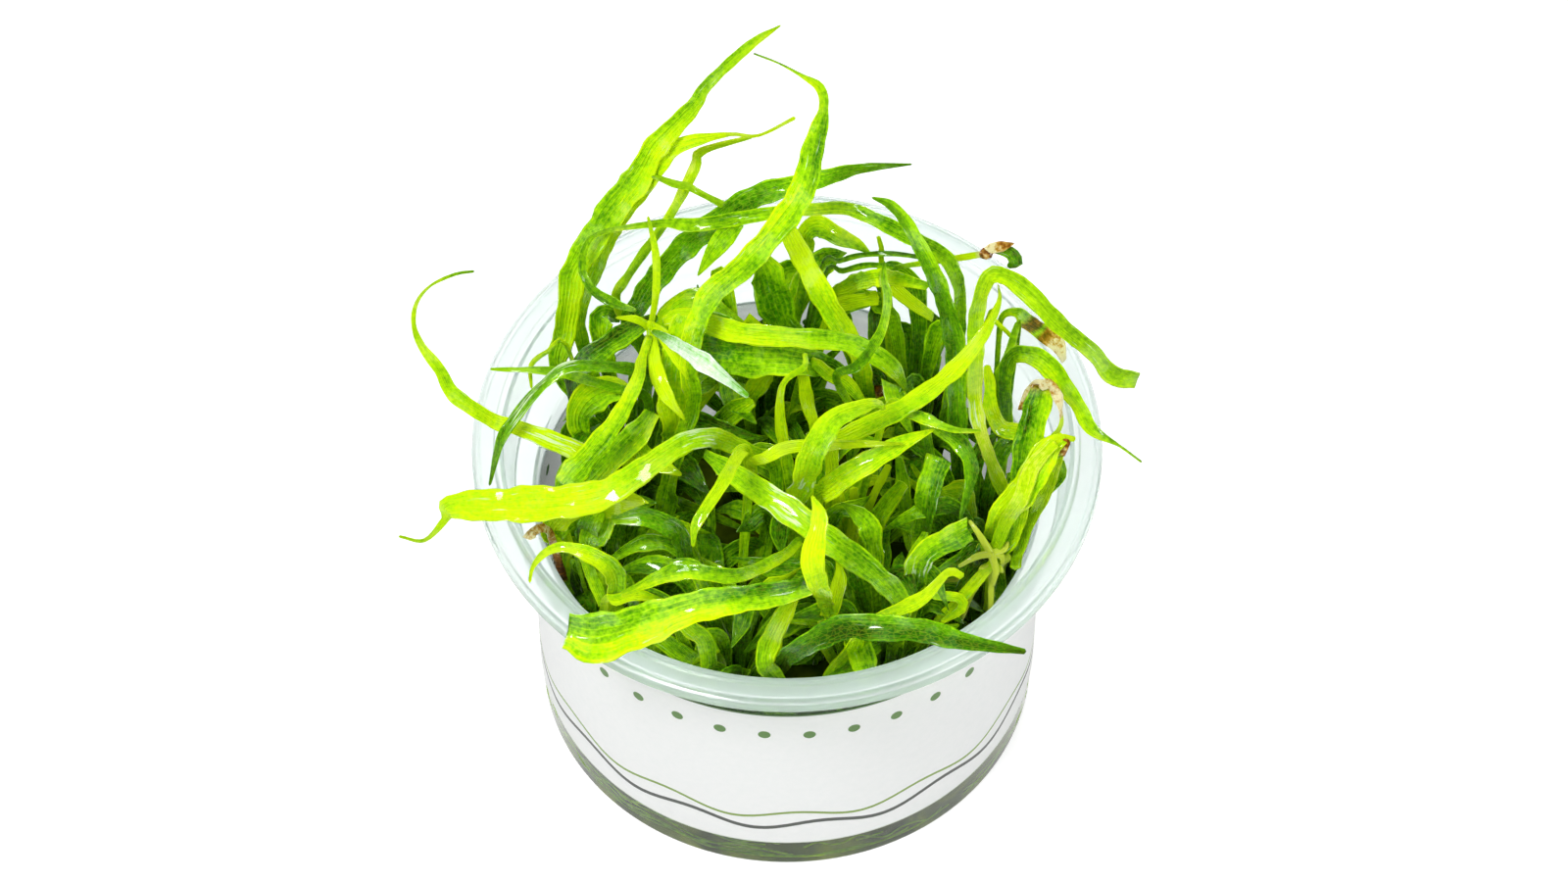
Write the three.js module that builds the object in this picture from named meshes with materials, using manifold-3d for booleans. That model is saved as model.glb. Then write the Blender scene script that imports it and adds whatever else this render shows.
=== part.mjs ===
// Tissue culture Helanthium tenellum in its cup: a clear cup with a white sleeve, a disc of gel,
// plantlet crowns standing on the gel, and the long strap leaves that grow out over the rim.
// Millimetres, +Z up, origin at the middle of the cup's base. The viewer of the photo is at -Y.
import * as THREE from "three";
import { mergeVertices } from "three/addons/utils/BufferGeometryUtils.js";
import Module from "manifold-3d";

const wasm = await Module();
wasm.setup();

// Cup
const SIDES = 48;
const BASE_R = 35.6;
const WALL_R_LOW = 36.3;
const WALL_R_HIGH = 36.7;
const WALL_T = 0.7;
const FLOOR_T = 0.85;
const EDGE_R = 0.9;
const SHOULDER_Z = 44;
const SHOULDER_RISE = 1.4;
const COLLAR_R = 39.8;
const FLANGE_Z = 55;
const FLANGE_T = 0.7;
const RIM_R = 40.4;
const FLANGE_R = 45;
const LIP_DROP = 1.9;
const STEP_R = 41.5;
const STEP_H = 0.25;
const RIDGE_R = 44.1;
const RIDGE_H = 0.35;

// Sleeve round the wall
const LABEL_Z0 = 7;
const LABEL_Z1 = 39.5;
const LABEL_GAP = 0.12;
const LABEL_T = 0.15;

// Gel and crowns
const GEL_GAP = 0.35;
const GEL_TOP = 8;
const CROWN_GAP = 0.3;
const CROWN_TOP = 11.6;
const CROWN_R_LOW = 4.9;
const CROWN_R_TOP = 4.3;
const CROWN_SIDES = 8;
const YOUNG_CROWN_R = 3.3;
const HIGH_CROWN_R = 1.35;

// Leaf blades: full thickness, thickness at a thread-like tip, and the clearance between pieces
const BLADE_T = 0.8;
const TIP_T = 0.4;
const FULL_T_WIDTH = 1.2;
const CLEARANCE = 0.35;
const STEP_ABOVE_RIM = 6.5;
const INSIDE_CUP_Z = 50;

// Direction that the broad side of a leaf is turned to: up and towards the front
const FACING = new THREE.Vector3(0, -0.585, 0.811);

// Midlines of the long leaves from the crown to the tip, a point being x, y, z and the width there.
const LEAVES = {
  tall_left: [
    [-25.5, 12, 12, 2], [-27.5, 13.5, 28, 2.2], [-30, 14.5, 44, 2.4], [-33, 16, 51.5, 2.6],
    [-32, 17, 58, 3.4], [-31, 19, 65, 3.6], [-30, 20, 70, 3.9], [-24.5, 23, 79.5, 4.3],
    [-21, 24, 85.5, 4.1], [-18.5, 25.5, 90.5, 3.6], [-13, 27, 98, 2.3], [-11, 27.5, 102, 1.6],
    [-5, 28.5, 109.5, 1.5], [-1, 29, 113, 0.3],
  ],
  tall_left_side: [
    [-23.5, 15, 12, 2], [-26, 16, 26.5, 2], [-27.5, 18, 41.5, 2], [-30, 20.5, 56, 2],
    [-27.5, 22.5, 66, 2.5], [-24.5, 23, 76, 2.8], [-20.5, 24, 83, 2.8], [-17, 25.5, 88.5, 2.5],
    [-14, 25.5, 91.5, 2.1], [-8, 25, 94, 0.6], [-4, 24, 95, 0.4], [1, 25.5, 97, 0.3],
  ],
  runner_back: [
    [-7, 23.5, 12, 1.5], [-11, 22, 23.5, 1.5], [-15, 21.5, 36, 1.4], [-20, 21.5, 47.5, 1.4],
    [-24.5, 21, 60, 1.4], [-22.5, 21, 67, 1.4], [-16.5, 24, 77, 1.4], [-13, 27, 84, 1.7],
    [-12, 27.5, 87, 1.2], [-5, 28.5, 89, 0.6],
  ],
  dark_back: [
    [-6.5, 20, 12, 2.1], [-12, 19, 28, 2.1], [-17, 20, 41.5, 2.2], [-22.5, 19.5, 56, 2.3],
    [-21, 19.5, 62, 3.1], [-18.5, 20.5, 67, 3.5], [-15.5, 21, 72, 3.6], [-12, 21.5, 76, 3.6],
    [-4, 23.5, 82, 3.3], [5.5, 24.5, 85, 2.5], [10.5, 26, 85, 1.5], [17.5, 27.5, 84, 0.3],
  ],
  tall_arch: [
    [-23.5, -6, 12, 2], [-21.5, -4, 24, 2.1], [-19, -2, 36, 2.3], [-16.5, 0.5, 48, 2.4],
    [-13.5, 3, 60, 2.5], [-14, 3, 67, 2.8], [-13.5, 5, 72, 2.9], [-12.5, 6, 76, 3.2],
    [-10.5, 8.5, 79, 3.4], [-6.5, 9, 84, 3.6], [-2, 11.5, 89, 3.8], [1.5, 13.5, 94, 3.8],
    [3, 15, 98, 3.5], [3.5, 17, 100, 3.4], [5, 20, 106, 1.6], [4.5, 22, 108, 1.5],
    [2.5, 23, 109, 0.7], [-1, 25.5, 109, 0.3], [-4.5, 28.5, 107.5, 0.3],
  ],
  long_curl: [
    [21, 16, 12, 2], [21, 15, 24.5, 2], [22.5, 13.5, 37.5, 2], [23.5, 12.5, 50, 2],
    [24.5, 14.5, 60, 2.1], [24.5, 15, 70, 1.8], [23.5, 14.5, 76, 2.2], [21.5, 15.5, 79, 2.3],
    [14, 17.5, 83, 2.2], [8.5, 19.5, 84, 1.9], [3.5, 18.5, 85, 1.9], [-2, 18, 85, 1.9],
    [-12.5, 17.5, 83, 2.1], [-17.5, 18.5, 82, 1.2], [-26, 20, 78, 0.7], [-28.5, 19, 76, 1],
    [-29, 17, 73, 1.3], [-27.5, 15, 71, 1.3], [-24.5, 13.5, 70, 1.5], [-21.5, 11.5, 71, 0.6],
  ],
  dark_hook: [
    [25.5, 0, 12, 2], [26, 2, 25.5, 2.3], [25.5, 3, 38.5, 2.6], [24.5, 4, 52, 2.8],
    [24, 7.5, 62, 3.2], [24, 8, 67, 3.2], [21.5, 9.5, 79, 2.6], [17, 12.5, 89, 1.9],
    [14.5, 14, 92, 1.4], [12, 14.5, 93, 0.4],
  ],
  bent_right: [
    [30, -4.5, 12, 2], [30.5, -5, 23.5, 2], [31, -5.5, 35.5, 2], [32, -6, 47, 2],
    [30, -5, 53, 2.1], [27.5, -3, 61, 2.1], [26.5, -1.5, 67, 2.1], [26.5, 1, 74, 2.3],
    [26.5, 3.5, 81, 2.5], [28, 4.5, 88, 2.3], [30.5, 4.5, 88, 2.6], [33.5, 2.5, 87, 2.9],
    [38, -1, 84, 2.5], [42.5, -2.5, 80, 2.3], [45.5, -3.5, 76, 2.9], [49, -3, 74, 2.6],
  ],
  diagonal_bright: [
    [6, -5, 12, 2], [6.5, -4, 24, 2], [6.5, -4, 48, 2], [6.5, -4, 60, 1.9],
    [8.5, -6, 65, 2.8], [16, -6.5, 72, 2.7], [22.5, -5, 78, 2.7], [27, -1.5, 82, 2],
    [29.5, 3, 84, 0.7], [29.5, 6, 84, 0.3],
  ],
  drooping_right: [
    [30, 0.5, 12, 2], [30, 2.5, 25, 2], [30.5, 4, 38.5, 2], [31.5, 7.5, 49.5, 2],
    [31, 6, 61.5, 2], [32, 7, 66, 2.2], [34.5, 5, 69, 2.8], [37, 3, 69, 3.3],
    [41, -0.5, 65, 2.1], [43, -3.5, 63, 1.9], [47, -5, 61, 0.4], [50, -7, 60, 0.3],
  ],
  brown_tipped: [
    [17.5, 21.5, 12, 0.7], [15.5, 21, 24, 0.7], [14.5, 21.5, 36, 0.7], [14, 22, 48, 0.7],
    [13.5, 22.5, 60, 0.7], [12.5, 21, 66.5, 0.7], [15, 20.5, 69, 0.7], [19, 16, 76, 0.8],
    [24.5, 18.5, 74, 1], [28, 18.5, 75, 1],
  ],
  far_left_curl: [
    [-26, -4.5, 12, 2], [-26.5, -4, 25.5, 2], [-26.5, -3, 38.5, 2], [-26.5, -2, 52, 2],
    [-29.5, -2.5, 56, 3.1], [-38.5, -1, 60, 2.2], [-41.5, 0, 60, 2.1], [-47, 1, 65, 2.2],
    [-49, 2.5, 69, 1.7], [-51.5, 4.5, 72, 1.2], [-52.5, 6, 75, 0.7], [-52, 7.5, 78, 0.6],
    [-50, 9, 80, 0.4], [-46.5, 9.5, 82, 0.5], [-44, 10, 82, 0.4],
  ],
  broad_left: [
    [-7.5, -19, 12, 2], [-5.5, -14, 24.5, 2.1], [-3.5, -7.5, 36.5, 2.2], [-1.5, -1, 49.5, 2.2],
    [-5.5, -3.5, 57, 2.8], [-9, -5.5, 63, 2.8], [-12, -8, 67, 2.9], [-15.5, -11, 69, 3],
    [-22, -16.5, 69, 3.7], [-26, -18.5, 68, 4.4], [-31.5, -19, 67, 4.9], [-38, -18, 65, 5.1],
    [-47, -17, 63, 3.6], [-48, -17, 60, 1.1], [-51, -18.5, 57, 0.6], [-54.5, -17.5, 56.5, 0.4],
  ],
  left_dark_arch: [
    [-18.5, 11.5, 12, 1.7], [-18.5, 10.5, 26.5, 1.7], [-18, 10, 41, 1.7], [-17.5, 10, 56, 1.7],
    [-21, 6, 64, 1.9], [-25.5, 4.5, 67, 1.7], [-30.5, 3, 69, 1.7], [-33, 2, 68, 1.7],
    [-36, 0, 66, 1.7], [-38.5, -2.5, 64, 1.7], [-40.5, -5, 62, 1.4], [-42, -9.5, 58, 0.4],
  ],
  left_point: [
    [-21, 9, 12, 1.5], [-20, 9.5, 25.5, 1.4], [-20, 9.5, 39, 1.4], [-20, 9.5, 52, 1.4],
    [-22.5, 6, 59, 1.4], [-25.5, 5.5, 61, 1.4], [-33, 6.5, 63, 1.5], [-42, 7, 63, 0.4],
  ],
  front_left_fold: [
    [10, -16.5, 12, 2], [9, -20.5, 26.5, 2], [7, -21.5, 41.5, 2], [5.5, -22.5, 56, 1.9],
    [3.5, -28.5, 61, 2.7], [-0.5, -31.5, 63, 3.3], [-12, -34.5, 64, 4.4], [-19.5, -35.5, 61, 6],
    [-26.5, -36, 58.5, 7], [-30.5, -34.5, 58, 5.4],
  ],
  front_right_dark: [
    [-8.5, -25.5, 12, 2], [-4.5, -27, 22.5, 2], [-4.5, -26.5, 29.5, 2], [-1, -29, 40, 1.9],
    [0.5, -33, 50, 2.8], [7.5, -34, 58, 3.7], [12, -35, 59.5, 3.7], [19, -35.5, 59.5, 3.4],
    [24.5, -36.5, 58.5, 2.7], [33, -38, 58, 0.8],
  ],
  two_tone_tip: [
    [10, -19.5, 12, 1.7], [9.5, -21.5, 24, 1.7], [8, -23, 36, 1.7], [6, -25, 48, 1.7],
    [5, -30, 60, 2.5], [3.5, -30.5, 69, 3.5], [4.5, -26, 73, 2.3], [3.5, -23, 74, 0.5],
  ],
  centre_diagonal: [
    [15.5, -20, 12, 2], [15, -22, 24.5, 2.3], [15.5, -23, 37.5, 2.5], [16, -24, 50, 2.8],
    [11.5, -24, 58, 3.8], [5.5, -21.5, 62, 4], [0, -18, 64, 3.8], [-7, -13, 65, 3.3],
    [-11.5, -8.5, 64, 1.4],
  ],
  bright_bent: [
    [-10.5, -19.5, 12, 1.4], [-7, -15, 24.5, 1.4], [-6.5, -11, 37.5, 1.4], [-5.5, -6, 50, 1.4],
    [-5, -9.5, 61, 1.7], [-6, -11.5, 69, 1.9], [-7.5, -17, 73, 1.9], [-9, -21, 74, 1.9],
    [-12.5, -25.5, 71, 1.5], [-13, -28.5, 70, 0.5],
  ],
  centre_broad: [
    [1, -6.5, 12, 2], [1.5, -8, 25, 2.2], [1.5, -9, 38.5, 2.3], [1, -10.5, 52, 2.5],
    [1.5, -11.5, 58, 3.5], [2.5, -14, 66, 3.7], [3.5, -15, 73, 3.8], [5, -14.5, 77, 3.5],
    [7, -13, 79, 3], [12, -10, 78, 1.6], [13.5, -9.5, 76, 0.7],
  ],
  bright_over: [
    [-17.5, 10.5, 69.5, 1.4], [-14.5, 11, 70, 2.8], [-6.5, 6, 73, 3.2], [2.5, 5, 73, 2.8],
    [9, 5.5, 71, 3], [14.5, 4, 68, 2.8], [17, 5.5, 60, 0.6],
  ],
  pale_glossy: [
    [-19, 8.5, 70, 0.6], [-16.5, 2.5, 76, 1.5], [-11.5, -4.5, 80, 2.7], [-5.5, -8, 77, 0.7],
  ],
  down_left: [
    [-19.5, 8, 69.5, 1], [-20.5, 3.5, 70, 1.4], [-21, -1.5, 72, 1.9], [-24, -8, 71, 2.6],
    [-29.5, -11, 64, 3.9], [-31.5, -11.5, 61, 2.8],
  ],
  broad_blunt: [
    [-28.5, -6, 12, 2], [-28.5, -5.5, 24.5, 2.3], [-28.5, -5.5, 37.5, 2.5], [-28.5, -5, 50, 2.8],
    [-27, -6.5, 55, 3.5], [-24, -6, 60, 3.9], [-21, -4.5, 63, 3.9], [-19, -1.5, 64, 2.5],
  ],
  curly_front_left: [
    [-25, -11, 12, 2], [-25.5, -14, 23.5, 2.1], [-25, -17.5, 34.5, 2.2], [-24.5, -21.5, 46, 2.2],
    [-24, -22.5, 53, 3], [-25.5, -23, 58, 3], [-30.5, -22.5, 61, 1.6], [-33.5, -22.5, 60, 1.2],
    [-35.5, -24, 58.5, 0.7], [-36, -25.5, 57, 0.4],
  ],
  upright_narrow: [
    [18, 14.5, 12, 1.3], [14, 12.5, 26, 1.3], [12, 9.5, 40, 1.3], [9.5, 6, 54, 1.3],
    [7, 2, 68, 1.2], [10, -0.5, 74, 1.5], [12.5, -0.5, 80, 1.5], [13.5, 1, 82, 1.4],
    [14, 2.5, 86, 1.2], [13.5, 4, 88, 1.1], [13.5, 5.5, 90, 0.4],
  ],
  centre_drop: [
    [15, 16.5, 12, 2], [14.5, 15, 24, 2.2], [13, 14, 36, 2.4], [11.5, 13, 48, 2.6],
    [10, 12, 60, 2.8], [5.5, 13, 71, 3.5], [0, 16.5, 83, 2.8],
  ],
  under_diagonal: [
    [4, -7, 12, 2], [4.5, -7.5, 26, 2.2], [4.5, -8.5, 40, 2.3], [4, -9.5, 54, 2.5],
    [5.5, -12, 60, 3.3], [8, -12.5, 64, 3.4], [11.5, -11.5, 66, 3.3], [16.5, -9, 67.5, 2.2],
    [20.5, -8, 69, 0.4],
  ],
  thin_point: [
    [5.5, -1.5, 12, 1.2], [8, -3, 25.5, 1.1], [10, -2.5, 39, 1.1], [12, -2, 52.5, 1.1],
    [14.5, -1.5, 66, 1.1], [17, -5, 69, 1.8], [19, -7.5, 71, 1.6], [21, -8.5, 71, 1.4],
    [23.5, -9.5, 71, 1.1], [27, -9, 70, 0.4],
  ],
  dark_right: [
    [25, -3, 12, 1.4], [24, -1, 24, 1.4], [22.5, -0.5, 36, 1.4], [21, 0, 48, 1.4],
    [19.5, 0.5, 60, 1.4], [21.5, -3.5, 63, 1.9], [24.5, -7, 64, 2.5], [26, -9.5, 61, 2.1],
    [24.5, -14, 56, 0.4],
  ],
  cut_right: [
    [14, -15, 12, 2], [16, -13.5, 22.5, 2.1], [17.5, -11.5, 33.5, 2.2], [19, -9.5, 44, 2.2],
    [19.5, -10.5, 51, 3.1], [20, -10, 57, 3.7], [21.5, -7, 61, 3.6],
  ],
  folded_cut: [
    [16, -17, 12, 2], [16.5, -18.5, 22, 2.3], [17.5, -18.5, 32, 2.5], [18, -18.5, 42, 2.8],
    [18, -20.5, 50, 3.3], [18.5, -21.5, 56, 3.6], [20, -21, 58.5, 3.6], [22.5, -19.5, 58.5, 3.6],
    [25.5, -16.5, 57, 3.3],
  ],
  front_bright: [
    [-5.5, -24, 12, 2], [-2.5, -25.5, 24.5, 2.1], [-1, -29.5, 36.5, 2.2], [-3, -32.5, 46.5, 3],
    [-2.5, -31, 49.5, 3.3], [-0.5, -30.5, 56, 2.7], [1, -29, 58, 1.6],
  ],
  front_over: [
    [-5, -21, 12, 1.1], [-3.5, -18.5, 24.5, 1.1], [-0.5, -16.5, 37.5, 1.1], [2, -14, 50, 1.1],
    [-0.5, -20.5, 56, 1.7], [-7, -28, 62, 2], [-15, -28, 63, 2.5], [-23, -28.5, 58, 1.1],
  ],
  dark_mid_left: [
    [-23, -9.5, 12, 2], [-21, -11, 22, 2], [-18, -13, 32, 2], [-14.5, -15, 42, 2],
    [-15, -16, 54, 2.8], [-17, -16.5, 58, 2.9], [-20.5, -16.5, 60, 2.8], [-24.5, -17.5, 60.5, 1.4],
  ],
  left_edge: [
    [-29.5, -8.5, 12, 1.7], [-30.5, -10, 26, 1.7], [-32, -10.5, 40, 1.7], [-33, -12.5, 47, 2.1],
    [-32, -13.5, 53, 2.5], [-29, -12, 53.5, 2.4], [-26, -13.5, 57, 1.4],
  ],
  left_low: [
    [-28, -10.5, 12, 2], [-28, -10.5, 22.5, 2.2], [-28.5, -10.5, 33.5, 2.4],
    [-28.5, -10.5, 43.5, 2.5], [-28.5, -12.5, 49.5, 3.3], [-27.5, -17.5, 60.5, 3.5],
    [-26, -13.5, 59.5, 3],
  ],
  wilted_broad: [
    [30.5, -13, 46.5, 2], [32.5, -11.5, 50, 2.2], [34, -5.5, 61, 4.2], [36, -1, 70, 3.6],
  ],
  right_stem: [
    [27.5, -13, 46.5, 1.7], [29.5, -13.5, 48, 1.7], [31, -12.5, 53, 2.2], [33, -12, 58, 2.5],
    [34.5, -9.5, 62, 2.3], [37.5, -8, 66, 1.8],
  ],
  right_stem_outer: [
    [32.5, -16, 46.5, 1.7], [33, -12.5, 45, 1.7], [34.5, -10, 49, 1.8], [37, -8, 55, 1.8],
    [38.5, -6, 61, 1.5],
  ],
  u_shaped: [
    [31.5, -2, 12, 2], [32.5, 1, 23.5, 2], [31.5, 2, 38, 2], [35.5, 3.5, 47.5, 2],
    [35.5, 3.5, 51, 2.4], [33, 2.5, 54, 2.5], [30.5, 2.5, 55, 2.5], [29, 4, 58, 2.1],
    [29, 7, 59, 1.7], [28.5, 9, 61, 1.1],
  ],
  twisted_narrow: [
    [0.5, -2, 12, 1.7], [0.5, -1.5, 25.5, 1.7], [1, -2, 38.5, 1.7], [0, -1.5, 52.5, 1.7],
    [-1, -0.5, 61, 1.7], [-0.5, 1.5, 67, 0.8], [2.5, 3, 69, 1], [2.5, 4.5, 70, 0.8],
  ],
  wilted_top: [
    [27.5, 1.5, 12, 0.9], [29, 6, 26.5, 0.9], [30, 11.5, 41.5, 0.9], [30.5, 17.5, 56, 0.8],
    [31, 18, 61, 1], [33, 17, 63, 1.4], [34.5, 13.5, 65, 2.8], [36.5, 11, 66, 2.8],
    [38.5, 10.5, 64, 2.4], [39.5, 10, 61, 1.1],
  ],
  front_right_curl: [
    [12.5, -21.5, 12, 1.4], [11, -23, 23.5, 1.4], [10, -25, 34.5, 1.4], [9, -27.5, 46, 1.4],
    [14, -30.5, 56, 2.1], [19, -29.5, 59, 2.1], [22.5, -26, 60, 1.5], [24.5, -26, 59, 1.1],
  ],
  back_mid: [
    [15, 19.5, 12, 1.8], [12.5, 20.5, 26.5, 1.7], [10, 22.5, 41.5, 1.7], [6.5, 24, 56, 1.7],
    [9, 21.5, 63.5, 2.5], [12.5, 13.5, 76, 2.7], [15.5, 19, 68.5, 2.4], [20, 18, 68, 1.1],
  ],
};

// The short bright leaf that forks off the bent one
const FORK = [
  [-5, -9.5, 61, 1.1], [-5, -11.5, 66, 1.5], [-3, -13.5, 70, 1.8], [0, -12.5, 71, 1.9],
  [5.5, -12, 71, 1.8], [16, -10, 68.5, 0.4],
];

// Runners that carry the two young plantlets
const RUNNER_HIGH = [
  [-7, 21, 12, 1.2], [-9.5, 21.5, 23, 1.2], [-13, 18.5, 36.5, 1.1], [-17, 15, 50, 1.1],
  [-19, 11.5, 62, 1.1], [-19.5, 10, 69, 1.1],
];
const RUNNER_RIGHT = [
  [27.5, -5.5, 12, 1.4], [28, -9, 20, 1.4], [29, -13, 32, 1.4], [29, -14, 43.5, 1.4],
];

// Crowns on the gel, each with its short inner leaves: compass angle from +X, reach, height, width
const CROWNS = {
  crown_back_left: { at: [-22, 12], inner: [
    [95, 9, 32, 2.6], [165, 9, 26, 2.4], [20, 12, 36, 2.8], [300, 8, 30, 2.6], [230, 9, 22, 2.2],
  ] },
  crown_back: { at: [-4, 22], inner: [
    [80, 7, 30, 2.6], [15, 12, 34, 2.8], [300, 12, 38, 3], [250, 12, 30, 2.6], [190, 10, 20, 2.2],
  ] },
  crown_back_right: { at: [18, 18], inner: [
    [60, 8, 30, 2.6], [340, 10, 34, 2.6], [250, 12, 38, 3], [200, 10, 26, 2.4], [290, 7, 24, 2.2],
  ] },
  crown_right: { at: [28, -2], inner: [
    [70, 8, 26, 2.4], [170, 10, 36, 2.8], [200, 8, 28, 2.6], [280, 6, 22, 2.2], [140, 12, 30, 2.6],
  ] },
  crown_front_right: { at: [13, -18], inner: [
    [330, 12, 34, 2.8], [50, 11, 38, 3], [250, 10, 30, 2.6], [180, 8, 26, 2.4], [290, 9, 34, 2.8],
  ] },
  crown_front: { at: [-8, -22], inner: [
    [200, 12, 34, 2.8], [240, 8, 36, 2.8], [120, 11, 38, 3], [290, 7, 30, 2.6], [165, 9, 26, 2.4],
  ] },
  crown_left: { at: [-26, -8], inner: [
    [310, 12, 36, 2.8], [20, 10, 32, 2.6], [250, 9, 28, 2.6], [80, 8, 26, 2.4], [345, 12, 26, 2.4],
  ] },
  crown_middle: { at: [3, -4], inner: [
    [30, 11, 38, 3], [90, 12, 34, 2.8], [150, 11, 38, 3], [200, 10, 30, 2.6], [340, 10, 28, 2.6],
  ] },
};

// Young plantlets off the gel: middle, then short leaves and roots as midlines with widths
const HIGH_PLANTLET = [-19.3, 10, 69];
const HIGH_LEAVES = [
  [[-19.3, 10, 69, 1.4], [-17.5, 7.5, 70.5, 2], [-15.5, 4, 69.5, 1.7], [-14, 2, 67.5, 0.4]],
  [[-19.3, 10, 69, 0.8], [-18.5, 12.5, 74, 1.1], [-18.5, 15.5, 79, 1.2], [-19.5, 18, 84, 0.4]],
  [[-19.3, 10, 69, 1], [-21.5, 9.5, 71.5, 1.2], [-24, 9, 72.5, 0.4]],
];
const ROOTED_PLANTLET = [29, -13.4, 44.3];
const ROOTS = [
  [[29, -14, 44, 0.9], [26.5, -16.5, 41, 0.8], [25, -18.5, 37, 0.5]],
  [[29, -14, 44, 0.9], [29.5, -17.5, 40, 0.8], [29, -18.5, 35, 0.5]],
  [[29, -14, 44, 0.9], [25.5, -14.5, 42, 0.8], [22.5, -14.5, 41, 0.5]],
];

// Colours as the eye reads them
const SLOTS = {
  cup_plastic: { color: 0xe6eeee, roughness: 0.08, opacity: 0.35 },
  label_paper: { color: 0xf2f3f2, roughness: 0.35, opacity: 1 },
  gel: { color: 0xb9b684, roughness: 0.2, opacity: 1 },
  leaf_bright: { color: 0x8fbf35, roughness: 0.35, opacity: 1 },
  leaf_mid: { color: 0x5f9a2c, roughness: 0.35, opacity: 1 },
  leaf_dark: { color: 0x35661f, roughness: 0.3, opacity: 1 },
  stem_pale: { color: 0xc2cf86, roughness: 0.4, opacity: 1 },
  crown_base: { color: 0x7d9a45, roughness: 0.45, opacity: 1 },
};
const DARK_LEAVES = [
  "dark_back", "dark_hook", "left_dark_arch", "left_point", "front_left_fold",
  "front_right_dark", "dark_right", "dark_mid_left", "left_edge", "left_low", "back_mid",
];
const BRIGHT_LEAVES = [
  "tall_left", "diagonal_bright", "bright_bent", "bright_over", "centre_broad",
  "centre_diagonal", "broad_left", "front_bright", "pale_glossy",
];
const PALE_STEMS = ["runner_back", "right_stem", "right_stem_outer", "bent_right"];

// Widths and points at stations along a smooth midline
function stationsAlong(points) {
  const curve = new THREE.CatmullRomCurve3(
    points.map(([x, y, z]) => new THREE.Vector3(x, y, z)), false, "catmullrom", 0.5,
  );
  const spans = points.length - 1;
  const stations = [];
  for (let i = 0; i < spans; i++) {
    const inside = points[i][2] < INSIDE_CUP_Z && points[i + 1][2] < INSIDE_CUP_Z;
    const length = curve.points[i].distanceTo(curve.points[i + 1]);
    const parts = inside ? 1 : Math.max(1, Math.round(length / STEP_ABOVE_RIM));
    for (let k = 0; k < parts; k++) {
      const share = k / parts;
      stations.push({
        at: curve.getPoint((i + share) / spans),
        width: THREE.MathUtils.lerp(points[i][3], points[i + 1][3], share),
      });
    }
  }
  stations.push({ at: curve.points[spans].clone(), width: points[spans][3] });
  return stations;
}

// A blade as a closed solid: a flat diamond section carried along the midline
function blade(points, grow = 0) {
  const stations = stationsAlong(points);
  const last = stations.length - 1;
  const positions = [];
  stations.forEach(({ at, width }, i) => {
    const before = stations[Math.max(i - 1, 0)].at;
    const after = stations[Math.min(i + 1, last)].at;
    const tangent = after.clone().sub(before).normalize();
    const normal = FACING.clone().addScaledVector(tangent, -FACING.dot(tangent)).normalize();
    const side = tangent.clone().cross(normal);
    const full = Math.min(1, width / FULL_T_WIDTH);
    const thick = THREE.MathUtils.lerp(TIP_T, BLADE_T, full) / 2 + grow;
    const half = width / 2 + grow;
    const end = i === 0 ? -grow : i === last ? grow : 0;
    const centre = at.clone().addScaledVector(tangent, end);
    for (const [across, up] of [[half, 0], [0, thick], [-half, 0], [0, -thick]]) {
      const corner = centre.clone().addScaledVector(side, across).addScaledVector(normal, up);
      positions.push(corner.x, corner.y, corner.z);
    }
  });
  const faces = [[0, 1, 2], [0, 2, 3]];
  for (let i = 0; i < last; i++) {
    for (let k = 0; k < 4; k++) {
      const a = 4 * i + k;
      const b = 4 * i + ((k + 1) % 4);
      faces.push([a, b + 4, b], [a, a + 4, b + 4]);
    }
  }
  const top = 4 * last;
  faces.push([top, top + 2, top + 1], [top, top + 3, top + 2]);
  return new wasm.Manifold(new wasm.Mesh({
    numProp: 3,
    vertProperties: new Float32Array(positions),
    triVerts: new Uint32Array(faces.flat()),
  }));
}

// A three.js geometry as a solid
function solidOf(geometry) {
  const plain = geometry.clone();
  plain.deleteAttribute("normal");
  plain.deleteAttribute("uv");
  const merged = mergeVertices(plain, 1e-4);
  return new wasm.Manifold(new wasm.Mesh({
    numProp: 3,
    vertProperties: merged.attributes.position.array,
    triVerts: new Uint32Array(merged.index.array),
  }));
}

function lathe(profile, sides) {
  const points = profile.map(([r, z]) => new THREE.Vector2(r, z));
  return solidOf(new THREE.LatheGeometry(points, sides).rotateX(Math.PI / 2));
}

function geometryOf(solid) {
  const mesh = solid.getMesh();
  const geometry = new THREE.BufferGeometry();
  const attribute = new THREE.BufferAttribute(new Float32Array(mesh.vertProperties), 3);
  geometry.setAttribute("position", attribute);
  geometry.setIndex(new THREE.BufferAttribute(new Uint32Array(mesh.triVerts), 1));
  geometry.computeVertexNormals();
  return geometry;
}

function wallRadius(z) {
  return THREE.MathUtils.lerp(WALL_R_LOW, WALL_R_HIGH, z / SHOULDER_Z);
}

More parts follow.
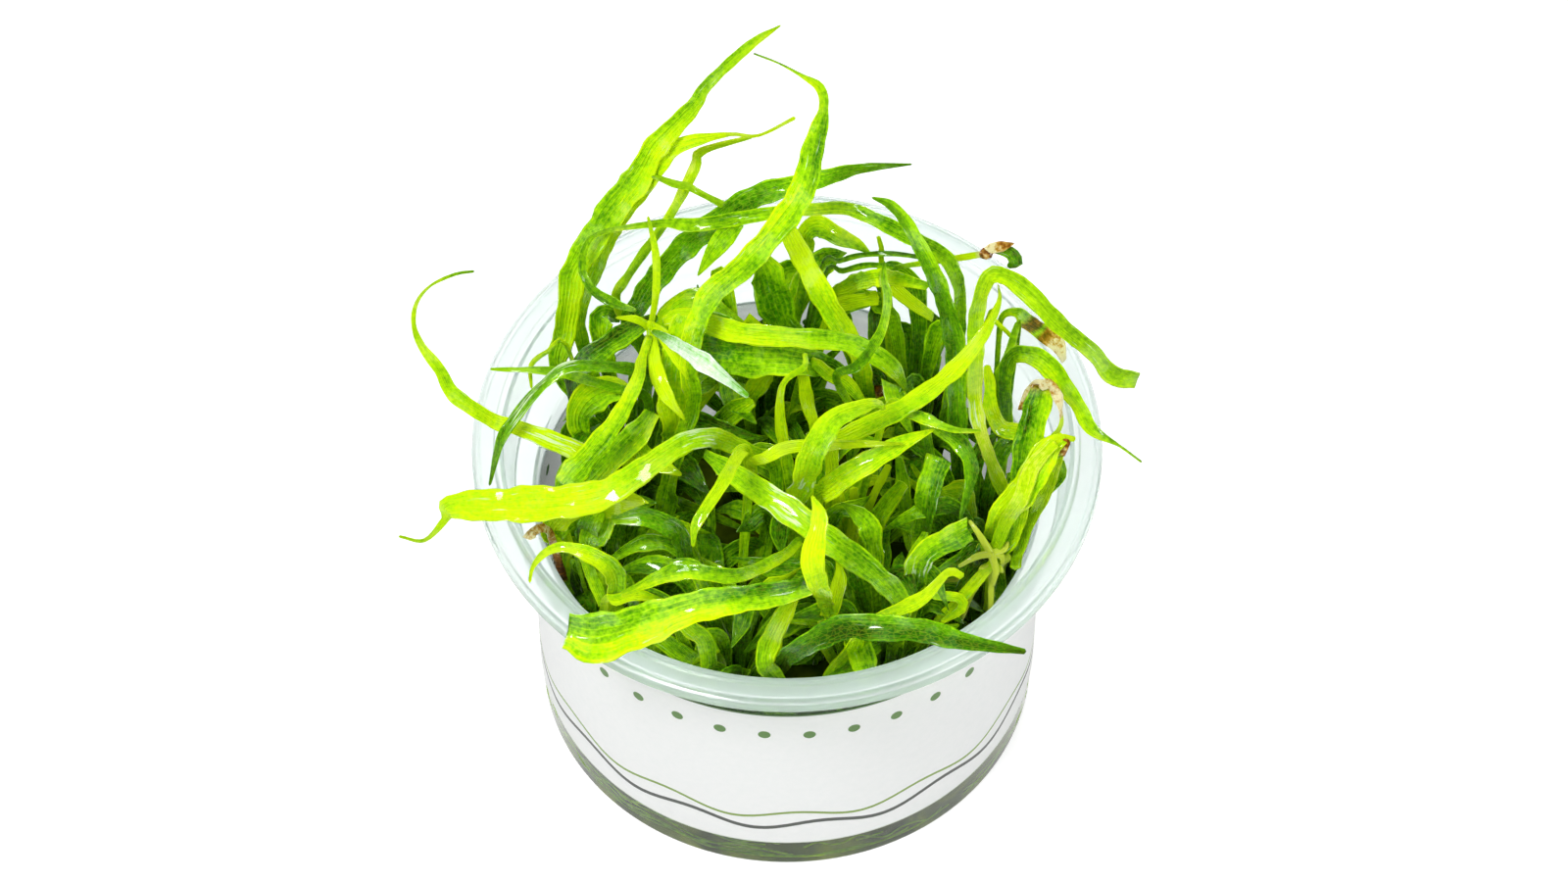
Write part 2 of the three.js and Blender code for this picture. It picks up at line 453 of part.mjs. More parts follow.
// Cup: floor, wall, stepped collar and flange with a step, a fine ridge and a turned-down lip
const cup = lathe([
  [0, 0], [BASE_R, 0], [WALL_R_LOW, EDGE_R], [WALL_R_HIGH, SHOULDER_Z],
  [COLLAR_R - 0.4, SHOULDER_Z + SHOULDER_RISE], [COLLAR_R, SHOULDER_Z + 2 * SHOULDER_RISE],
  [RIM_R + WALL_T, FLANGE_Z - FLANGE_T], [FLANGE_R - WALL_T, FLANGE_Z - FLANGE_T],
  [FLANGE_R - WALL_T, FLANGE_Z - LIP_DROP], [FLANGE_R, FLANGE_Z - LIP_DROP],
  [RIDGE_R + 0.35, FLANGE_Z], [RIDGE_R, FLANGE_Z + RIDGE_H],
  [RIDGE_R - 0.35, FLANGE_Z], [STEP_R + 0.4, FLANGE_Z], [STEP_R + 0.15, FLANGE_Z + STEP_H],
  [STEP_R - 0.25, FLANGE_Z + STEP_H], [STEP_R - 0.5, FLANGE_Z], [RIM_R, FLANGE_Z],
  [COLLAR_R - WALL_T, SHOULDER_Z + 2 * SHOULDER_RISE + 0.3],
  [WALL_R_HIGH - WALL_T, SHOULDER_Z + WALL_T], [WALL_R_LOW - WALL_T, EDGE_R + 0.6],
  [BASE_R - 0.4, FLOOR_T], [0, FLOOR_T],
], SIDES);

const label = lathe([
  [wallRadius(LABEL_Z0) + LABEL_GAP, LABEL_Z0],
  [wallRadius(LABEL_Z0) + LABEL_GAP + LABEL_T, LABEL_Z0],
  [wallRadius(LABEL_Z1) + LABEL_GAP + LABEL_T, LABEL_Z1],
  [wallRadius(LABEL_Z1) + LABEL_GAP, LABEL_Z1],
  [wallRadius(LABEL_Z0) + LABEL_GAP, LABEL_Z0],
], SIDES);

const GEL_LOW = FLOOR_T + GEL_GAP;
const GEL_R = WALL_R_LOW - WALL_T - GEL_GAP;
const gel = lathe([
  [0, GEL_LOW], [BASE_R - 0.8, GEL_LOW], [GEL_R, EDGE_R + 0.9], [GEL_R, GEL_TOP], [0, GEL_TOP],
], SIDES);

// The long leaves
const solids = new Map([["cup", cup], ["label", label], ["gel", gel]]);
const clearance = [];
for (const [name, points] of Object.entries(LEAVES)) {
  solids.set(name, blade(points));
  clearance.push(blade(points, CLEARANCE));
}
solids.set("bright_bent", solids.get("bright_bent").add(blade(FORK)));
clearance.push(blade(FORK, CLEARANCE));

// A piece is cut back where a grown neighbour passes, and what stays joined to its base is kept
function clearOf(solid, others) {
  const bodies = solid.subtract(wasm.Manifold.union(others)).decompose();
  bodies.sort((a, b) => b.volume() - a.volume());
  return bodies[0];
}

// Young plantlets, each with the runner that carries it
const highCrown = solidOf(
  new THREE.IcosahedronGeometry(HIGH_CROWN_R, 1).translate(...HIGH_PLANTLET),
);
const highParts = [highCrown, blade(RUNNER_HIGH), ...HIGH_LEAVES.map((leaf) => blade(leaf))];
solids.set("plantlet_on_runner", clearOf(wasm.Manifold.union(highParts), clearance));
const youngCrown = solidOf(
  new THREE.CylinderGeometry(YOUNG_CROWN_R, YOUNG_CROWN_R * 0.8, 3.4, CROWN_SIDES)
    .rotateX(Math.PI / 2).translate(...ROOTED_PLANTLET),
);
const rootedParts = [youngCrown, blade(RUNNER_RIGHT), ...ROOTS.map((root) => blade(root))];
solids.set("rooted_plantlet", clearOf(wasm.Manifold.union(rootedParts), clearance));

// Crowns on the gel
const young = [
  blade(RUNNER_HIGH, CLEARANCE), blade(RUNNER_RIGHT, CLEARANCE),
  ...ROOTS.map((root) => blade(root, CLEARANCE)),
];
const INNER_BENDS = [[0, 0], [0.12, 0.35], [0.42, 0.75], [1, 1]];
const CROWN_LOW = GEL_TOP + CROWN_GAP;
const innerClearance = [];
for (const [name, { at: [x, y], inner }] of Object.entries(CROWNS)) {
  const height = CROWN_TOP - CROWN_LOW;
  const mound = solidOf(
    new THREE.CylinderGeometry(CROWN_R_TOP, CROWN_R_LOW, height, CROWN_SIDES)
      .rotateX(Math.PI / 2).translate(x, y, CROWN_LOW + height / 2),
  );
  const paths = inner.map(([angle, reach, rise, width]) => {
    const turn = THREE.MathUtils.degToRad(angle);
    return INNER_BENDS.map(([out, up], i) => [
      x + Math.cos(turn) * (1 + out * reach),
      y + Math.sin(turn) * (1 + out * reach),
      CROWN_TOP - 1 + up * rise,
      i === INNER_BENDS.length - 1 ? 0.5 : width,
    ]);
  });
  const whole = wasm.Manifold.union([mound, ...paths.map((path) => blade(path))]);
  solids.set(name, clearOf(whole, [...clearance, ...young, ...innerClearance]));
  innerClearance.push(...paths.map((path) => blade(path, CLEARANCE)));
}

// Each solid as a named mesh with the material of its slot
function slotOf(name) {
  if (name === "cup") return "cup_plastic";
  if (name === "label") return "label_paper";
  if (name === "gel") return "gel";
  if (name.startsWith("crown_") || name.includes("plantlet")) return "crown_base";
  if (DARK_LEAVES.includes(name)) return "leaf_dark";
  if (BRIGHT_LEAVES.includes(name)) return "leaf_bright";
  if (PALE_STEMS.includes(name)) return "stem_pale";
  return "leaf_mid";
}

const group = new THREE.Group();
group.name = "helanthium_tenellum_in_cup";
for (const [name, solid] of solids) {
  const { color, roughness, opacity } = SLOTS[slotOf(name)];
  const material = new THREE.MeshStandardMaterial({
    color, roughness, metalness: 0, opacity, transparent: opacity < 1,
  });
  const mesh = new THREE.Mesh(geometryOf(solid), material);
  mesh.name = name;
  group.add(mesh);
}

export default group;
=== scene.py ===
"""Looks of a tissue culture Helanthium tenellum in its clear cup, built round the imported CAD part."""

import math
import random

import bpy
import numpy as np
from bpy.props import FloatProperty, FloatVectorProperty, IntProperty, PointerProperty
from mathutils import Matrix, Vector


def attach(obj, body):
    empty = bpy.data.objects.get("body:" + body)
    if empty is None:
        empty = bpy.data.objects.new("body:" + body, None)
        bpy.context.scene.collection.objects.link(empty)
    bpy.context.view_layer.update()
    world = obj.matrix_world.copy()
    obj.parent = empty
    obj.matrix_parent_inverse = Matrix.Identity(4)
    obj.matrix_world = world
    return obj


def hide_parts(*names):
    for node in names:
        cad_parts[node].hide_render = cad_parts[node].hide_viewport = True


bl_info = {
    "name": "Tissue Culture Cup Plant",
    "version": (1, 0, 0),
    "blender": (4, 5, 0),
    "location": "View3D > Sidebar > Cup Plant",
    "description": "A narrow-leaved aquarium plant on gel in a clear cup, at its real size",
    "category": "Object",
}

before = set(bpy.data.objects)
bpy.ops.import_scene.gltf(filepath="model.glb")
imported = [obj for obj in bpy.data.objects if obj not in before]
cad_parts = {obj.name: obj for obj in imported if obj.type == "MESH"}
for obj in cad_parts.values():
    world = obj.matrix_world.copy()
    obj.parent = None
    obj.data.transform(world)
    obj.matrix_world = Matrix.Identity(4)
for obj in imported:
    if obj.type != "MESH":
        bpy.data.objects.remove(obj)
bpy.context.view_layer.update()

MM = 0.001
FACING = np.array([0.0, -0.585, 0.811])  # leaves turn their broad side up and to the front
AROUND = 16  # points round a blade's section
STEP_MM = 0.9  # distance between sections along a blade
COARSE = 0.4  # sections in a millimetre where only a leaf's place matters
CELL_MM = 1.5  # size of the cells that tell how much of the clump leaves cover
WELD, PROFILE_WELD = 2e-7, 1e-6  # metres within which the points of a seam are made one
CYCLE = 6.28  # one wave of a leaf's edge, twist or width
SHADE_LOW, SHADE_DEPTH = 24, 36  # painted shade: a leaf's colour darkens from 60 mm high down to 24 mm, between the others

# Cup sizes, in millimetres
WALL_R_LOW = 36.3
WALL_R_HIGH = 36.7
WALL_T = 0.7
SHOULDER_Z = 44.0
RIM_Z = 55.0
RIM_R = 40.4
FLANGE_R = 45.0
LABEL_LOW, LABEL_HIGH = 6.2, 40.2
LABEL_T = 0.15
LABEL_GAP = 0.12
ROOT_R = 36.12  # roots lie half in the gel's skin
CROWN_TOP = 11.6
SHOULDER_ROOM, COLLAR_ROOM = 34.3, 37.7  # how far out a leaf may reach in the cup
COLLAR_LOW, COLLAR_HIGH = 52, 56  # heights between which the wall opens to the rim

# How the inner leaves of the crowns are placed
INNER_ROOM = 33  # how far out they reach, in millimetres
FRONT_Y = 4  # crowns before this line are at the front, where leaves are lower
TALLEST_FRONT, TALLEST_BACK = 42, 50
TRIES = 16  # places tried for each one
SEEN_ABOVE, SPACED_ABOVE, TAKEN_ABOVE = 26, 24, 20  # heights from which a leaf counts
ARCH = ((0, 0, 0.4), (0.08, 0.4, 0.38), (0.26, 0.76, 0.6), (0.55, 0.98, 1), (0.85, 1.0, 0.95))

# The sleeve's printed border: height, shift, half width and ink of each wavy line, and the dots
WAVES = ((11.0, 0.0, 0.42, "#4c524b"), (13.6, 1.1, 0.28, "#86a544"))
DOTS, DOTS_Z = 36, 35.0

# Lamps: name, place, size and share of the key light's power
LAMPS = (
    ("key_softbox", (-0.28, -0.32, 0.78), 0.24, 1.0),
    ("fill_softbox", (0.55, -0.35, 0.55), 0.2, 0.3),
    ("rim_softbox", (0.15, 0.7, 0.5), 0.16, 0.4),
)

# Midlines of the long leaves, crown to tip: x, y, z and the width there, in millimetres
LEAVES = {
  "tall_left": [
    [-25.5, 12, 12, 2], [-27.5, 13.5, 28, 2.2], [-30, 14.5, 44, 2.4], [-33, 16, 51.5, 2.6],
    [-32, 17, 58, 3.4], [-31, 19, 65, 3.6], [-30, 20, 70, 3.9], [-24.5, 23, 79.5, 4.3],
    [-21, 24, 85.5, 4.1], [-18.5, 25.5, 90.5, 3.6], [-13, 27, 98, 2.3], [-11, 27.5, 102, 1.6],
    [-5, 28.5, 109.5, 1.5], [-1, 29, 113, 0.3],
  ],
  "tall_left_side": [
    [-23.5, 15, 12, 2], [-26, 16, 26.5, 2], [-27.5, 18, 41.5, 2], [-30, 20.5, 56, 2],
    [-27.5, 22.5, 66, 2.5], [-24.5, 23, 76, 2.8], [-20.5, 24, 83, 2.8], [-17, 25.5, 88.5, 2.5],
    [-14, 25.5, 91.5, 2.1], [-8, 25, 94, 0.6], [-4, 24, 95, 0.4], [1, 25.5, 97, 0.3],
  ],
  "runner_back": [
    [-7, 23.5, 12, 1.5], [-11, 22, 23.5, 1.5], [-15, 21.5, 36, 1.4], [-20, 21.5, 47.5, 1.4],
    [-24.5, 21, 60, 1.4], [-22.5, 21, 67, 1.4], [-16.5, 24, 77, 1.4], [-13, 27, 84, 1.7],
    [-12, 27.5, 87, 1.2], [-5, 28.5, 89, 0.6],
  ],
  "dark_back": [
    [-6.5, 20, 12, 2.1], [-12, 19, 28, 2.1], [-17, 20, 41.5, 2.2], [-22.5, 19.5, 56, 2.3],
    [-21, 19.5, 62, 3.1], [-18.5, 20.5, 67, 3.5], [-15.5, 21, 72, 3.6], [-12, 21.5, 76, 3.6],
    [-4, 23.5, 82, 3.3], [5.5, 24.5, 85, 2.5], [10.5, 26, 85, 1.5], [17.5, 27.5, 84, 0.3],
  ],
  "tall_arch": [
    [-23.5, -6, 12, 2], [-21.5, -4, 24, 2.1], [-19, -2, 36, 2.3], [-16.5, 0.5, 48, 2.4],
    [-13.5, 3, 60, 2.5], [-14, 3, 67, 2.8], [-13.5, 5, 72, 2.9], [-12.5, 6, 76, 3.2], [-10.5, 8.5, 79, 3.4],
    [-6.5, 9, 84, 3.6], [-2, 11.5, 89, 3.8], [1.5, 13.5, 94, 3.8], [3, 15, 98, 3.5], [3.5, 17, 100, 3.4],
    [5, 20, 106, 1.6], [4.5, 22, 108, 1.5], [2.5, 23, 109, 0.7], [-1, 25.5, 109, 0.3],
    [-4.5, 28.5, 107.5, 0.3],
  ],
  "long_curl": [
    [21, 16, 12, 2], [21, 15, 24.5, 2], [22.5, 13.5, 37.5, 2], [23.5, 12.5, 50, 2], [24.5, 14.5, 60, 2.1],
    [24.5, 15, 70, 1.8], [23.5, 14.5, 76, 2.2], [21.5, 15.5, 79, 2.3], [14, 17.5, 83, 2.2],
    [8.5, 19.5, 84, 1.9], [3.5, 18.5, 85, 1.9], [-2, 18, 85, 1.9], [-12.5, 17.5, 83, 2.1],
    [-17.5, 18.5, 82, 1.2], [-26, 20, 78, 0.7], [-28.5, 19, 76, 1], [-29, 17, 73, 1.3],
    [-27.5, 15, 71, 1.3], [-24.5, 13.5, 70, 1.5], [-21.5, 11.5, 71, 0.6],
  ],
  "dark_hook": [
    [25.5, 0, 12, 2], [26, 2, 25.5, 2.3], [25.5, 3, 38.5, 2.6], [24.5, 4, 52, 2.8], [24, 7.5, 62, 3.2],
    [24, 8, 67, 3.2], [21.5, 9.5, 79, 2.6], [17, 12.5, 89, 1.9], [14.5, 14, 92, 1.4], [12, 14.5, 93, 0.4],
  ],
  "bent_right": [
    [30, -4.5, 12, 2], [30.5, -5, 23.5, 2], [31, -5.5, 35.5, 2], [32, -6, 47, 2], [30, -5, 53, 2.1],
    [27.5, -3, 61, 2.1], [26.5, -1.5, 67, 2.1], [26.5, 1, 74, 2.3], [26.5, 3.5, 81, 2.5],
    [28, 4.5, 88, 2.3], [30.5, 4.5, 88, 2.6], [33.5, 2.5, 87, 2.9], [38, -1, 84, 2.5],
    [42.5, -2.5, 80, 2.3], [45.5, -3.5, 76, 2.9], [49, -3, 74, 2.6],
  ],
  "diagonal_bright": [
    [6, -5, 12, 2], [6.5, -4, 24, 2], [6.5, -4, 48, 2], [6.5, -4, 60, 1.9], [8.5, -6, 65, 2.8],
    [16, -6.5, 72, 2.7], [22.5, -5, 78, 2.7], [27, -1.5, 82, 2], [29.5, 3, 84, 0.7], [29.5, 6, 84, 0.3],
  ],
  "drooping_right": [
    [30, 0.5, 12, 2], [30, 2.5, 25, 2], [30.5, 4, 38.5, 2], [31.5, 7.5, 49.5, 2], [31, 6, 61.5, 2],
    [32, 7, 66, 2.2], [34.5, 5, 69, 2.8], [37, 3, 69, 3.3], [41, -0.5, 65, 2.1], [43, -3.5, 63, 1.9],
    [47, -5, 61, 0.4], [50, -7, 60, 0.3],
  ],
  "brown_tipped": [
    [17.5, 21.5, 12, 0.7], [15.5, 21, 24, 0.7], [14.5, 21.5, 36, 0.7], [14, 22, 48, 0.7],
    [13.5, 22.5, 60, 0.7], [12.5, 21, 66.5, 0.7], [15, 20.5, 69, 0.7], [19, 16, 76, 0.8],
    [24.5, 18.5, 74, 1], [28, 18.5, 75, 1],
  ],
  "far_left_curl": [
    [-26, -4.5, 12, 2], [-26.5, -4, 25.5, 2], [-26.5, -3, 38.5, 2], [-26.5, -2, 52, 2],
    [-29.5, -2.5, 56, 3.1], [-38.5, -1, 60, 2.2], [-41.5, 0, 60, 2.1], [-47, 1, 65, 2.2],
    [-49, 2.5, 69, 1.7], [-51.5, 4.5, 72, 1.2], [-52.5, 6, 75, 0.7], [-52, 7.5, 78, 0.6], [-50, 9, 80, 0.4],
    [-46.5, 9.5, 82, 0.5], [-44, 10, 82, 0.4],
  ],
  "broad_left": [
    [-7.5, -19, 12, 2], [-5.5, -14, 24.5, 2.1], [-3.5, -7.5, 36.5, 2.2], [-1.5, -1, 49.5, 2.2],
    [-5.5, -3.5, 57, 2.8], [-9, -5.5, 63, 2.8], [-12, -8, 67, 2.9], [-15.5, -11, 69, 3],
    [-22, -16.5, 69, 3.7], [-26, -18.5, 68, 4.4], [-31.5, -19, 67, 4.9], [-38, -18, 65, 5.1],
    [-47, -17, 63, 3.6], [-48, -17, 60, 1.1], [-51, -18.5, 57, 0.6], [-54.5, -17.5, 56.5, 0.4],
  ],
  "left_dark_arch": [
    [-18.5, 11.5, 12, 1.7], [-18.5, 10.5, 26.5, 1.7], [-18, 10, 41, 1.7], [-17.5, 10, 56, 1.7],
    [-21, 6, 64, 1.9], [-25.5, 4.5, 67, 1.7], [-30.5, 3, 69, 1.7], [-33, 2, 68, 1.7], [-36, 0, 66, 1.7],
    [-38.5, -2.5, 64, 1.7], [-40.5, -5, 62, 1.4], [-42, -9.5, 58, 0.4],
  ],
  "left_point": [
    [-21, 9, 12, 1.5], [-20, 9.5, 25.5, 1.4], [-20, 9.5, 39, 1.4], [-20, 9.5, 52, 1.4], [-22.5, 6, 59, 1.4],
    [-25.5, 5.5, 61, 1.4], [-33, 6.5, 63, 1.5], [-42, 7, 63, 0.4],
  ],
  "front_left_fold": [
    [10, -16.5, 12, 2], [9, -20.5, 26.5, 2], [7, -21.5, 41.5, 2], [5.5, -22.5, 56, 1.9],
    [3.5, -28.5, 61, 2.7], [-0.5, -31.5, 63, 3.3], [-12, -34.5, 64, 4.4], [-19.5, -35.5, 61, 6],
    [-26.5, -36, 58.5, 7], [-30.5, -34.5, 58, 5.4],
  ],
  "front_right_dark": [
    [-8.5, -25.5, 12, 2], [-4.5, -27, 22.5, 2], [-4.5, -26.5, 29.5, 2], [-1, -29, 40, 1.9],
    [0.5, -33, 50, 2.8], [7.5, -34, 58, 3.7], [12, -35, 59.5, 3.7], [19, -35.5, 59.5, 3.4],
    [24.5, -36.5, 58.5, 2.7], [33, -38, 58, 0.8],
  ],
  "two_tone_tip": [
    [10, -19.5, 12, 1.7], [9.5, -21.5, 24, 1.7], [8, -23, 36, 1.7], [6, -25, 48, 1.7], [5, -30, 60, 2.5],
    [3.5, -30.5, 69, 3.5], [4.5, -26, 73, 2.3], [3.5, -23, 74, 0.5],
  ],
  "centre_diagonal": [
    [15.5, -20, 12, 2], [15, -22, 24.5, 2.3], [15.5, -23, 37.5, 2.5], [16, -24, 50, 2.8],
    [11.5, -24, 58, 3.8], [5.5, -21.5, 62, 4], [0, -18, 64, 3.8], [-7, -13, 65, 3.3],
    [-11.5, -8.5, 64, 1.4],
  ],
  "bright_bent": [
    [-10.5, -19.5, 12, 1.4], [-7, -15, 24.5, 1.4], [-6.5, -11, 37.5, 1.4], [-5.5, -6, 50, 1.4],
    [-5, -9.5, 61, 1.7], [-6, -11.5, 69, 1.9], [-7.5, -17, 73, 1.9], [-9, -21, 74, 1.9],
    [-12.5, -25.5, 71, 1.5], [-13, -28.5, 70, 0.5],
  ],
  "centre_broad": [
    [1, -6.5, 12, 2], [1.5, -8, 25, 2.2], [1.5, -9, 38.5, 2.3], [1, -10.5, 52, 2.5], [1.5, -11.5, 58, 3.5],
    [2.5, -14, 66, 3.7], [3.5, -15, 73, 3.8], [5, -14.5, 77, 3.5], [7, -13, 79, 3], [12, -10, 78, 1.6],
    [13.5, -9.5, 76, 0.7],
  ],
  "bright_over": [
    [-17.5, 10.5, 69.5, 1.4], [-14.5, 11, 70, 2.8], [-6.5, 6, 73, 3.2], [2.5, 5, 73, 2.8], [9, 5.5, 71, 3],
    [14.5, 4, 68, 2.8], [17, 5.5, 60, 0.6],
  ],
  "pale_glossy": [[-19, 8.5, 70, 0.6], [-16.5, 2.5, 76, 1.5], [-11.5, -4.5, 80, 2.7], [-5.5, -8, 77, 0.7]],
  "down_left": [
    [-19.5, 8, 69.5, 1], [-20.5, 3.5, 70, 1.4], [-21, -1.5, 72, 1.9], [-24, -8, 71, 2.6],
    [-29.5, -11, 64, 3.9], [-31.5, -11.5, 61, 2.8],
  ],
  "broad_blunt": [
    [-28.5, -6, 12, 2], [-28.5, -5.5, 24.5, 2.3], [-28.5, -5.5, 37.5, 2.5], [-28.5, -5, 50, 2.8],
    [-27, -6.5, 55, 3.5], [-24, -6, 60, 3.9], [-21, -4.5, 63, 3.9], [-19, -1.5, 64, 2.5],
  ],
  "curly_front_left": [
    [-25, -11, 12, 2], [-25.5, -14, 23.5, 2.1], [-25, -17.5, 34.5, 2.2], [-24.5, -21.5, 46, 2.2],
    [-24, -22.5, 53, 3], [-25.5, -23, 58, 3], [-30.5, -22.5, 61, 1.6], [-33.5, -22.5, 60, 1.2],
    [-35.5, -24, 58.5, 0.7], [-36, -25.5, 57, 0.4],
  ],
  "upright_narrow": [
    [18, 14.5, 12, 1.3], [14, 12.5, 26, 1.3], [12, 9.5, 40, 1.3], [9.5, 6, 54, 1.3], [7, 2, 68, 1.2],
    [10, -0.5, 74, 1.5], [12.5, -0.5, 80, 1.5], [13.5, 1, 82, 1.4], [14, 2.5, 86, 1.2], [13.5, 4, 88, 1.1],
    [13.5, 5.5, 90, 0.4],
  ],
  "centre_drop": [
    [15, 16.5, 12, 2], [14.5, 15, 24, 2.2], [13, 14, 36, 2.4], [11.5, 13, 48, 2.6], [10, 12, 60, 2.8],
    [5.5, 13, 71, 3.5], [0, 16.5, 83, 2.8],
  ],
  "under_diagonal": [
    [4, -7, 12, 2], [4.5, -7.5, 26, 2.2], [4.5, -8.5, 40, 2.3], [4, -9.5, 54, 2.5], [5.5, -12, 60, 3.3],
    [8, -12.5, 64, 3.4], [11.5, -11.5, 66, 3.3], [16.5, -9, 67.5, 2.2], [20.5, -8, 69, 0.4],
  ],
  "thin_point": [
    [5.5, -1.5, 12, 1.2], [8, -3, 25.5, 1.1], [10, -2.5, 39, 1.1], [12, -2, 52.5, 1.1],
    [14.5, -1.5, 66, 1.1], [17, -5, 69, 1.8], [19, -7.5, 71, 1.6], [21, -8.5, 71, 1.4],
    [23.5, -9.5, 71, 1.1], [27, -9, 70, 0.4],
  ],
  "dark_right": [
    [25, -3, 12, 1.4], [24, -1, 24, 1.4], [22.5, -0.5, 36, 1.4], [21, 0, 48, 1.4], [19.5, 0.5, 60, 1.4],
    [21.5, -3.5, 63, 1.9], [24.5, -7, 64, 2.5], [26, -9.5, 61, 2.1], [24.5, -14, 56, 0.4],
  ],
  "cut_right": [
    [14, -15, 12, 2], [16, -13.5, 22.5, 2.1], [17.5, -11.5, 33.5, 2.2], [19, -9.5, 44, 2.2],
    [19.5, -10.5, 51, 3.1], [20, -10, 57, 3.7], [21.5, -7, 61, 3.6],
  ],
  "folded_cut": [
    [16, -17, 12, 2], [16.5, -18.5, 22, 2.3], [17.5, -18.5, 32, 2.5], [18, -18.5, 42, 2.8],
    [18, -20.5, 50, 3.3], [18.5, -21.5, 56, 3.6], [20, -21, 58.5, 3.6], [22.5, -19.5, 58.5, 3.6],
    [25.5, -16.5, 57, 3.3],
  ],
  "front_bright": [
    [-5.5, -24, 12, 2], [-2.5, -25.5, 24.5, 2.1], [-1, -29.5, 36.5, 2.2], [-3, -32.5, 46.5, 3],
    [-2.5, -31, 49.5, 3.3], [-0.5, -30.5, 56, 2.7], [1, -29, 58, 1.6],
  ],
  "front_over": [
    [-5, -21, 12, 1.1], [-3.5, -18.5, 24.5, 1.1], [-0.5, -16.5, 37.5, 1.1], [2, -14, 50, 1.1],
    [-0.5, -20.5, 56, 1.7], [-7, -28, 62, 2], [-15, -28, 63, 2.5], [-23, -28.5, 58, 1.1],
  ],
  "dark_mid_left": [
    [-23, -9.5, 12, 2], [-21, -11, 22, 2], [-18, -13, 32, 2], [-14.5, -15, 42, 2], [-15, -16, 54, 2.8],
    [-17, -16.5, 58, 2.9], [-20.5, -16.5, 60, 2.8], [-24.5, -17.5, 60.5, 1.4],
  ],
  "left_edge": [
    [-29.5, -8.5, 12, 1.7], [-30.5, -10, 26, 1.7], [-32, -10.5, 40, 1.7], [-33, -12.5, 47, 2.1],
    [-32, -13.5, 53, 2.5], [-29, -12, 53.5, 2.4], [-26, -13.5, 57, 1.4],
  ],
  "left_low": [
    [-28, -10.5, 12, 2], [-28, -10.5, 22.5, 2.2], [-28.5, -10.5, 33.5, 2.4], [-28.5, -10.5, 43.5, 2.5],
    [-28.5, -12.5, 49.5, 3.3], [-27.5, -17.5, 60.5, 3.5], [-26, -13.5, 59.5, 3],
  ],
  "wilted_broad": [[30.5, -13, 46.5, 2], [32.5, -11.5, 50, 2.2], [34, -5.5, 61, 4.2], [36, -1, 70, 3.6]],
  "right_stem": [
    [27.5, -13, 46.5, 1.7], [29.5, -13.5, 48, 1.7], [31, -12.5, 53, 2.2], [33, -12, 58, 2.5],
    [34.5, -9.5, 62, 2.3], [37.5, -8, 66, 1.8],
  ],
  "right_stem_outer": [
    [32.5, -16, 46.5, 1.7], [33, -12.5, 45, 1.7], [34.5, -10, 49, 1.8], [37, -8, 55, 1.8],
    [38.5, -6, 61, 1.5],
  ],
  "u_shaped": [
    [31.5, -2, 12, 2], [32.5, 1, 23.5, 2], [31.5, 2, 38, 2], [35.5, 3.5, 47.5, 2], [35.5, 3.5, 51, 2.4],
    [33, 2.5, 54, 2.5], [30.5, 2.5, 55, 2.5], [29, 4, 58, 2.1], [29, 7, 59, 1.7], [28.5, 9, 61, 1.1],
  ],
  "twisted_narrow": [
    [0.5, -2, 12, 1.7], [0.5, -1.5, 25.5, 1.7], [1, -2, 38.5, 1.7], [0, -1.5, 52.5, 1.7],
    [-1, -0.5, 61, 1.7], [-0.5, 1.5, 67, 0.8], [2.5, 3, 69, 1], [2.5, 4.5, 70, 0.8],
  ],
  "wilted_top": [
    [27.5, 1.5, 12, 0.9], [29, 6, 26.5, 0.9], [30, 11.5, 41.5, 0.9], [30.5, 17.5, 56, 0.8], [31, 18, 61, 1],
    [33, 17, 63, 1.4], [34.5, 13.5, 65, 2.8], [36.5, 11, 66, 2.8], [38.5, 10.5, 64, 2.4],
    [39.5, 10, 61, 1.1],
  ],
  "front_right_curl": [
    [12.5, -21.5, 12, 1.4], [11, -23, 23.5, 1.4], [10, -25, 34.5, 1.4], [9, -27.5, 46, 1.4],
    [14, -30.5, 56, 2.1], [19, -29.5, 59, 2.1], [22.5, -26, 60, 1.5], [24.5, -26, 59, 1.1],
  ],
  "back_mid": [
    [15, 19.5, 12, 1.8], [12.5, 20.5, 26.5, 1.7], [10, 22.5, 41.5, 1.7], [6.5, 24, 56, 1.7],
    [9, 21.5, 63.5, 2.5], [12.5, 13.5, 76, 2.7], [15.5, 19, 68.5, 2.4], [20, 18, 68, 1.1],
  ],
}

# Small pieces of the long leaves, in the same way
FORK = [
  [-5, -9.5, 61, 1.1], [-5, -11.5, 66, 1.5], [-3, -13.5, 70, 1.8], [0, -12.5, 71, 1.9], [5.5, -12, 71, 1.8],
  [16, -10, 68.5, 0.4],
]
SIDE_LEAF = [[-6.5, 17, 84, 1.4], [-8.5, 16.5, 82, 3], [-10.5, 15.5, 79, 2.4], [-12.5, 14, 76, 0.4]]
CROSSING_RUNNER = [
  [-20, 24.5, 86, 0.7], [-16, 22.5, 86, 1.1], [-14, 22, 86, 1.2], [-12.5, 21, 86, 1], [-9, 19.5, 85, 1],
]
DRIED_KNOT = [[27.5, 18, 75, 1], [28, 18.5, 75, 1.8], [29, 18.5, 75, 1.2]]
DRIED_TIP = [[28, 18.5, 75, 1.3], [29, 19, 75.5, 1.6], [30.5, 19, 76, 1.6], [32, 19.5, 76, 0.4]]
DARK_CURL = [
  [29.5, 19, 75, 0.8], [31, 19, 75, 1.8], [32, 19, 74, 2.2], [32.5, 18.5, 73, 2], [31.5, 18.5, 72, 0.7],
]
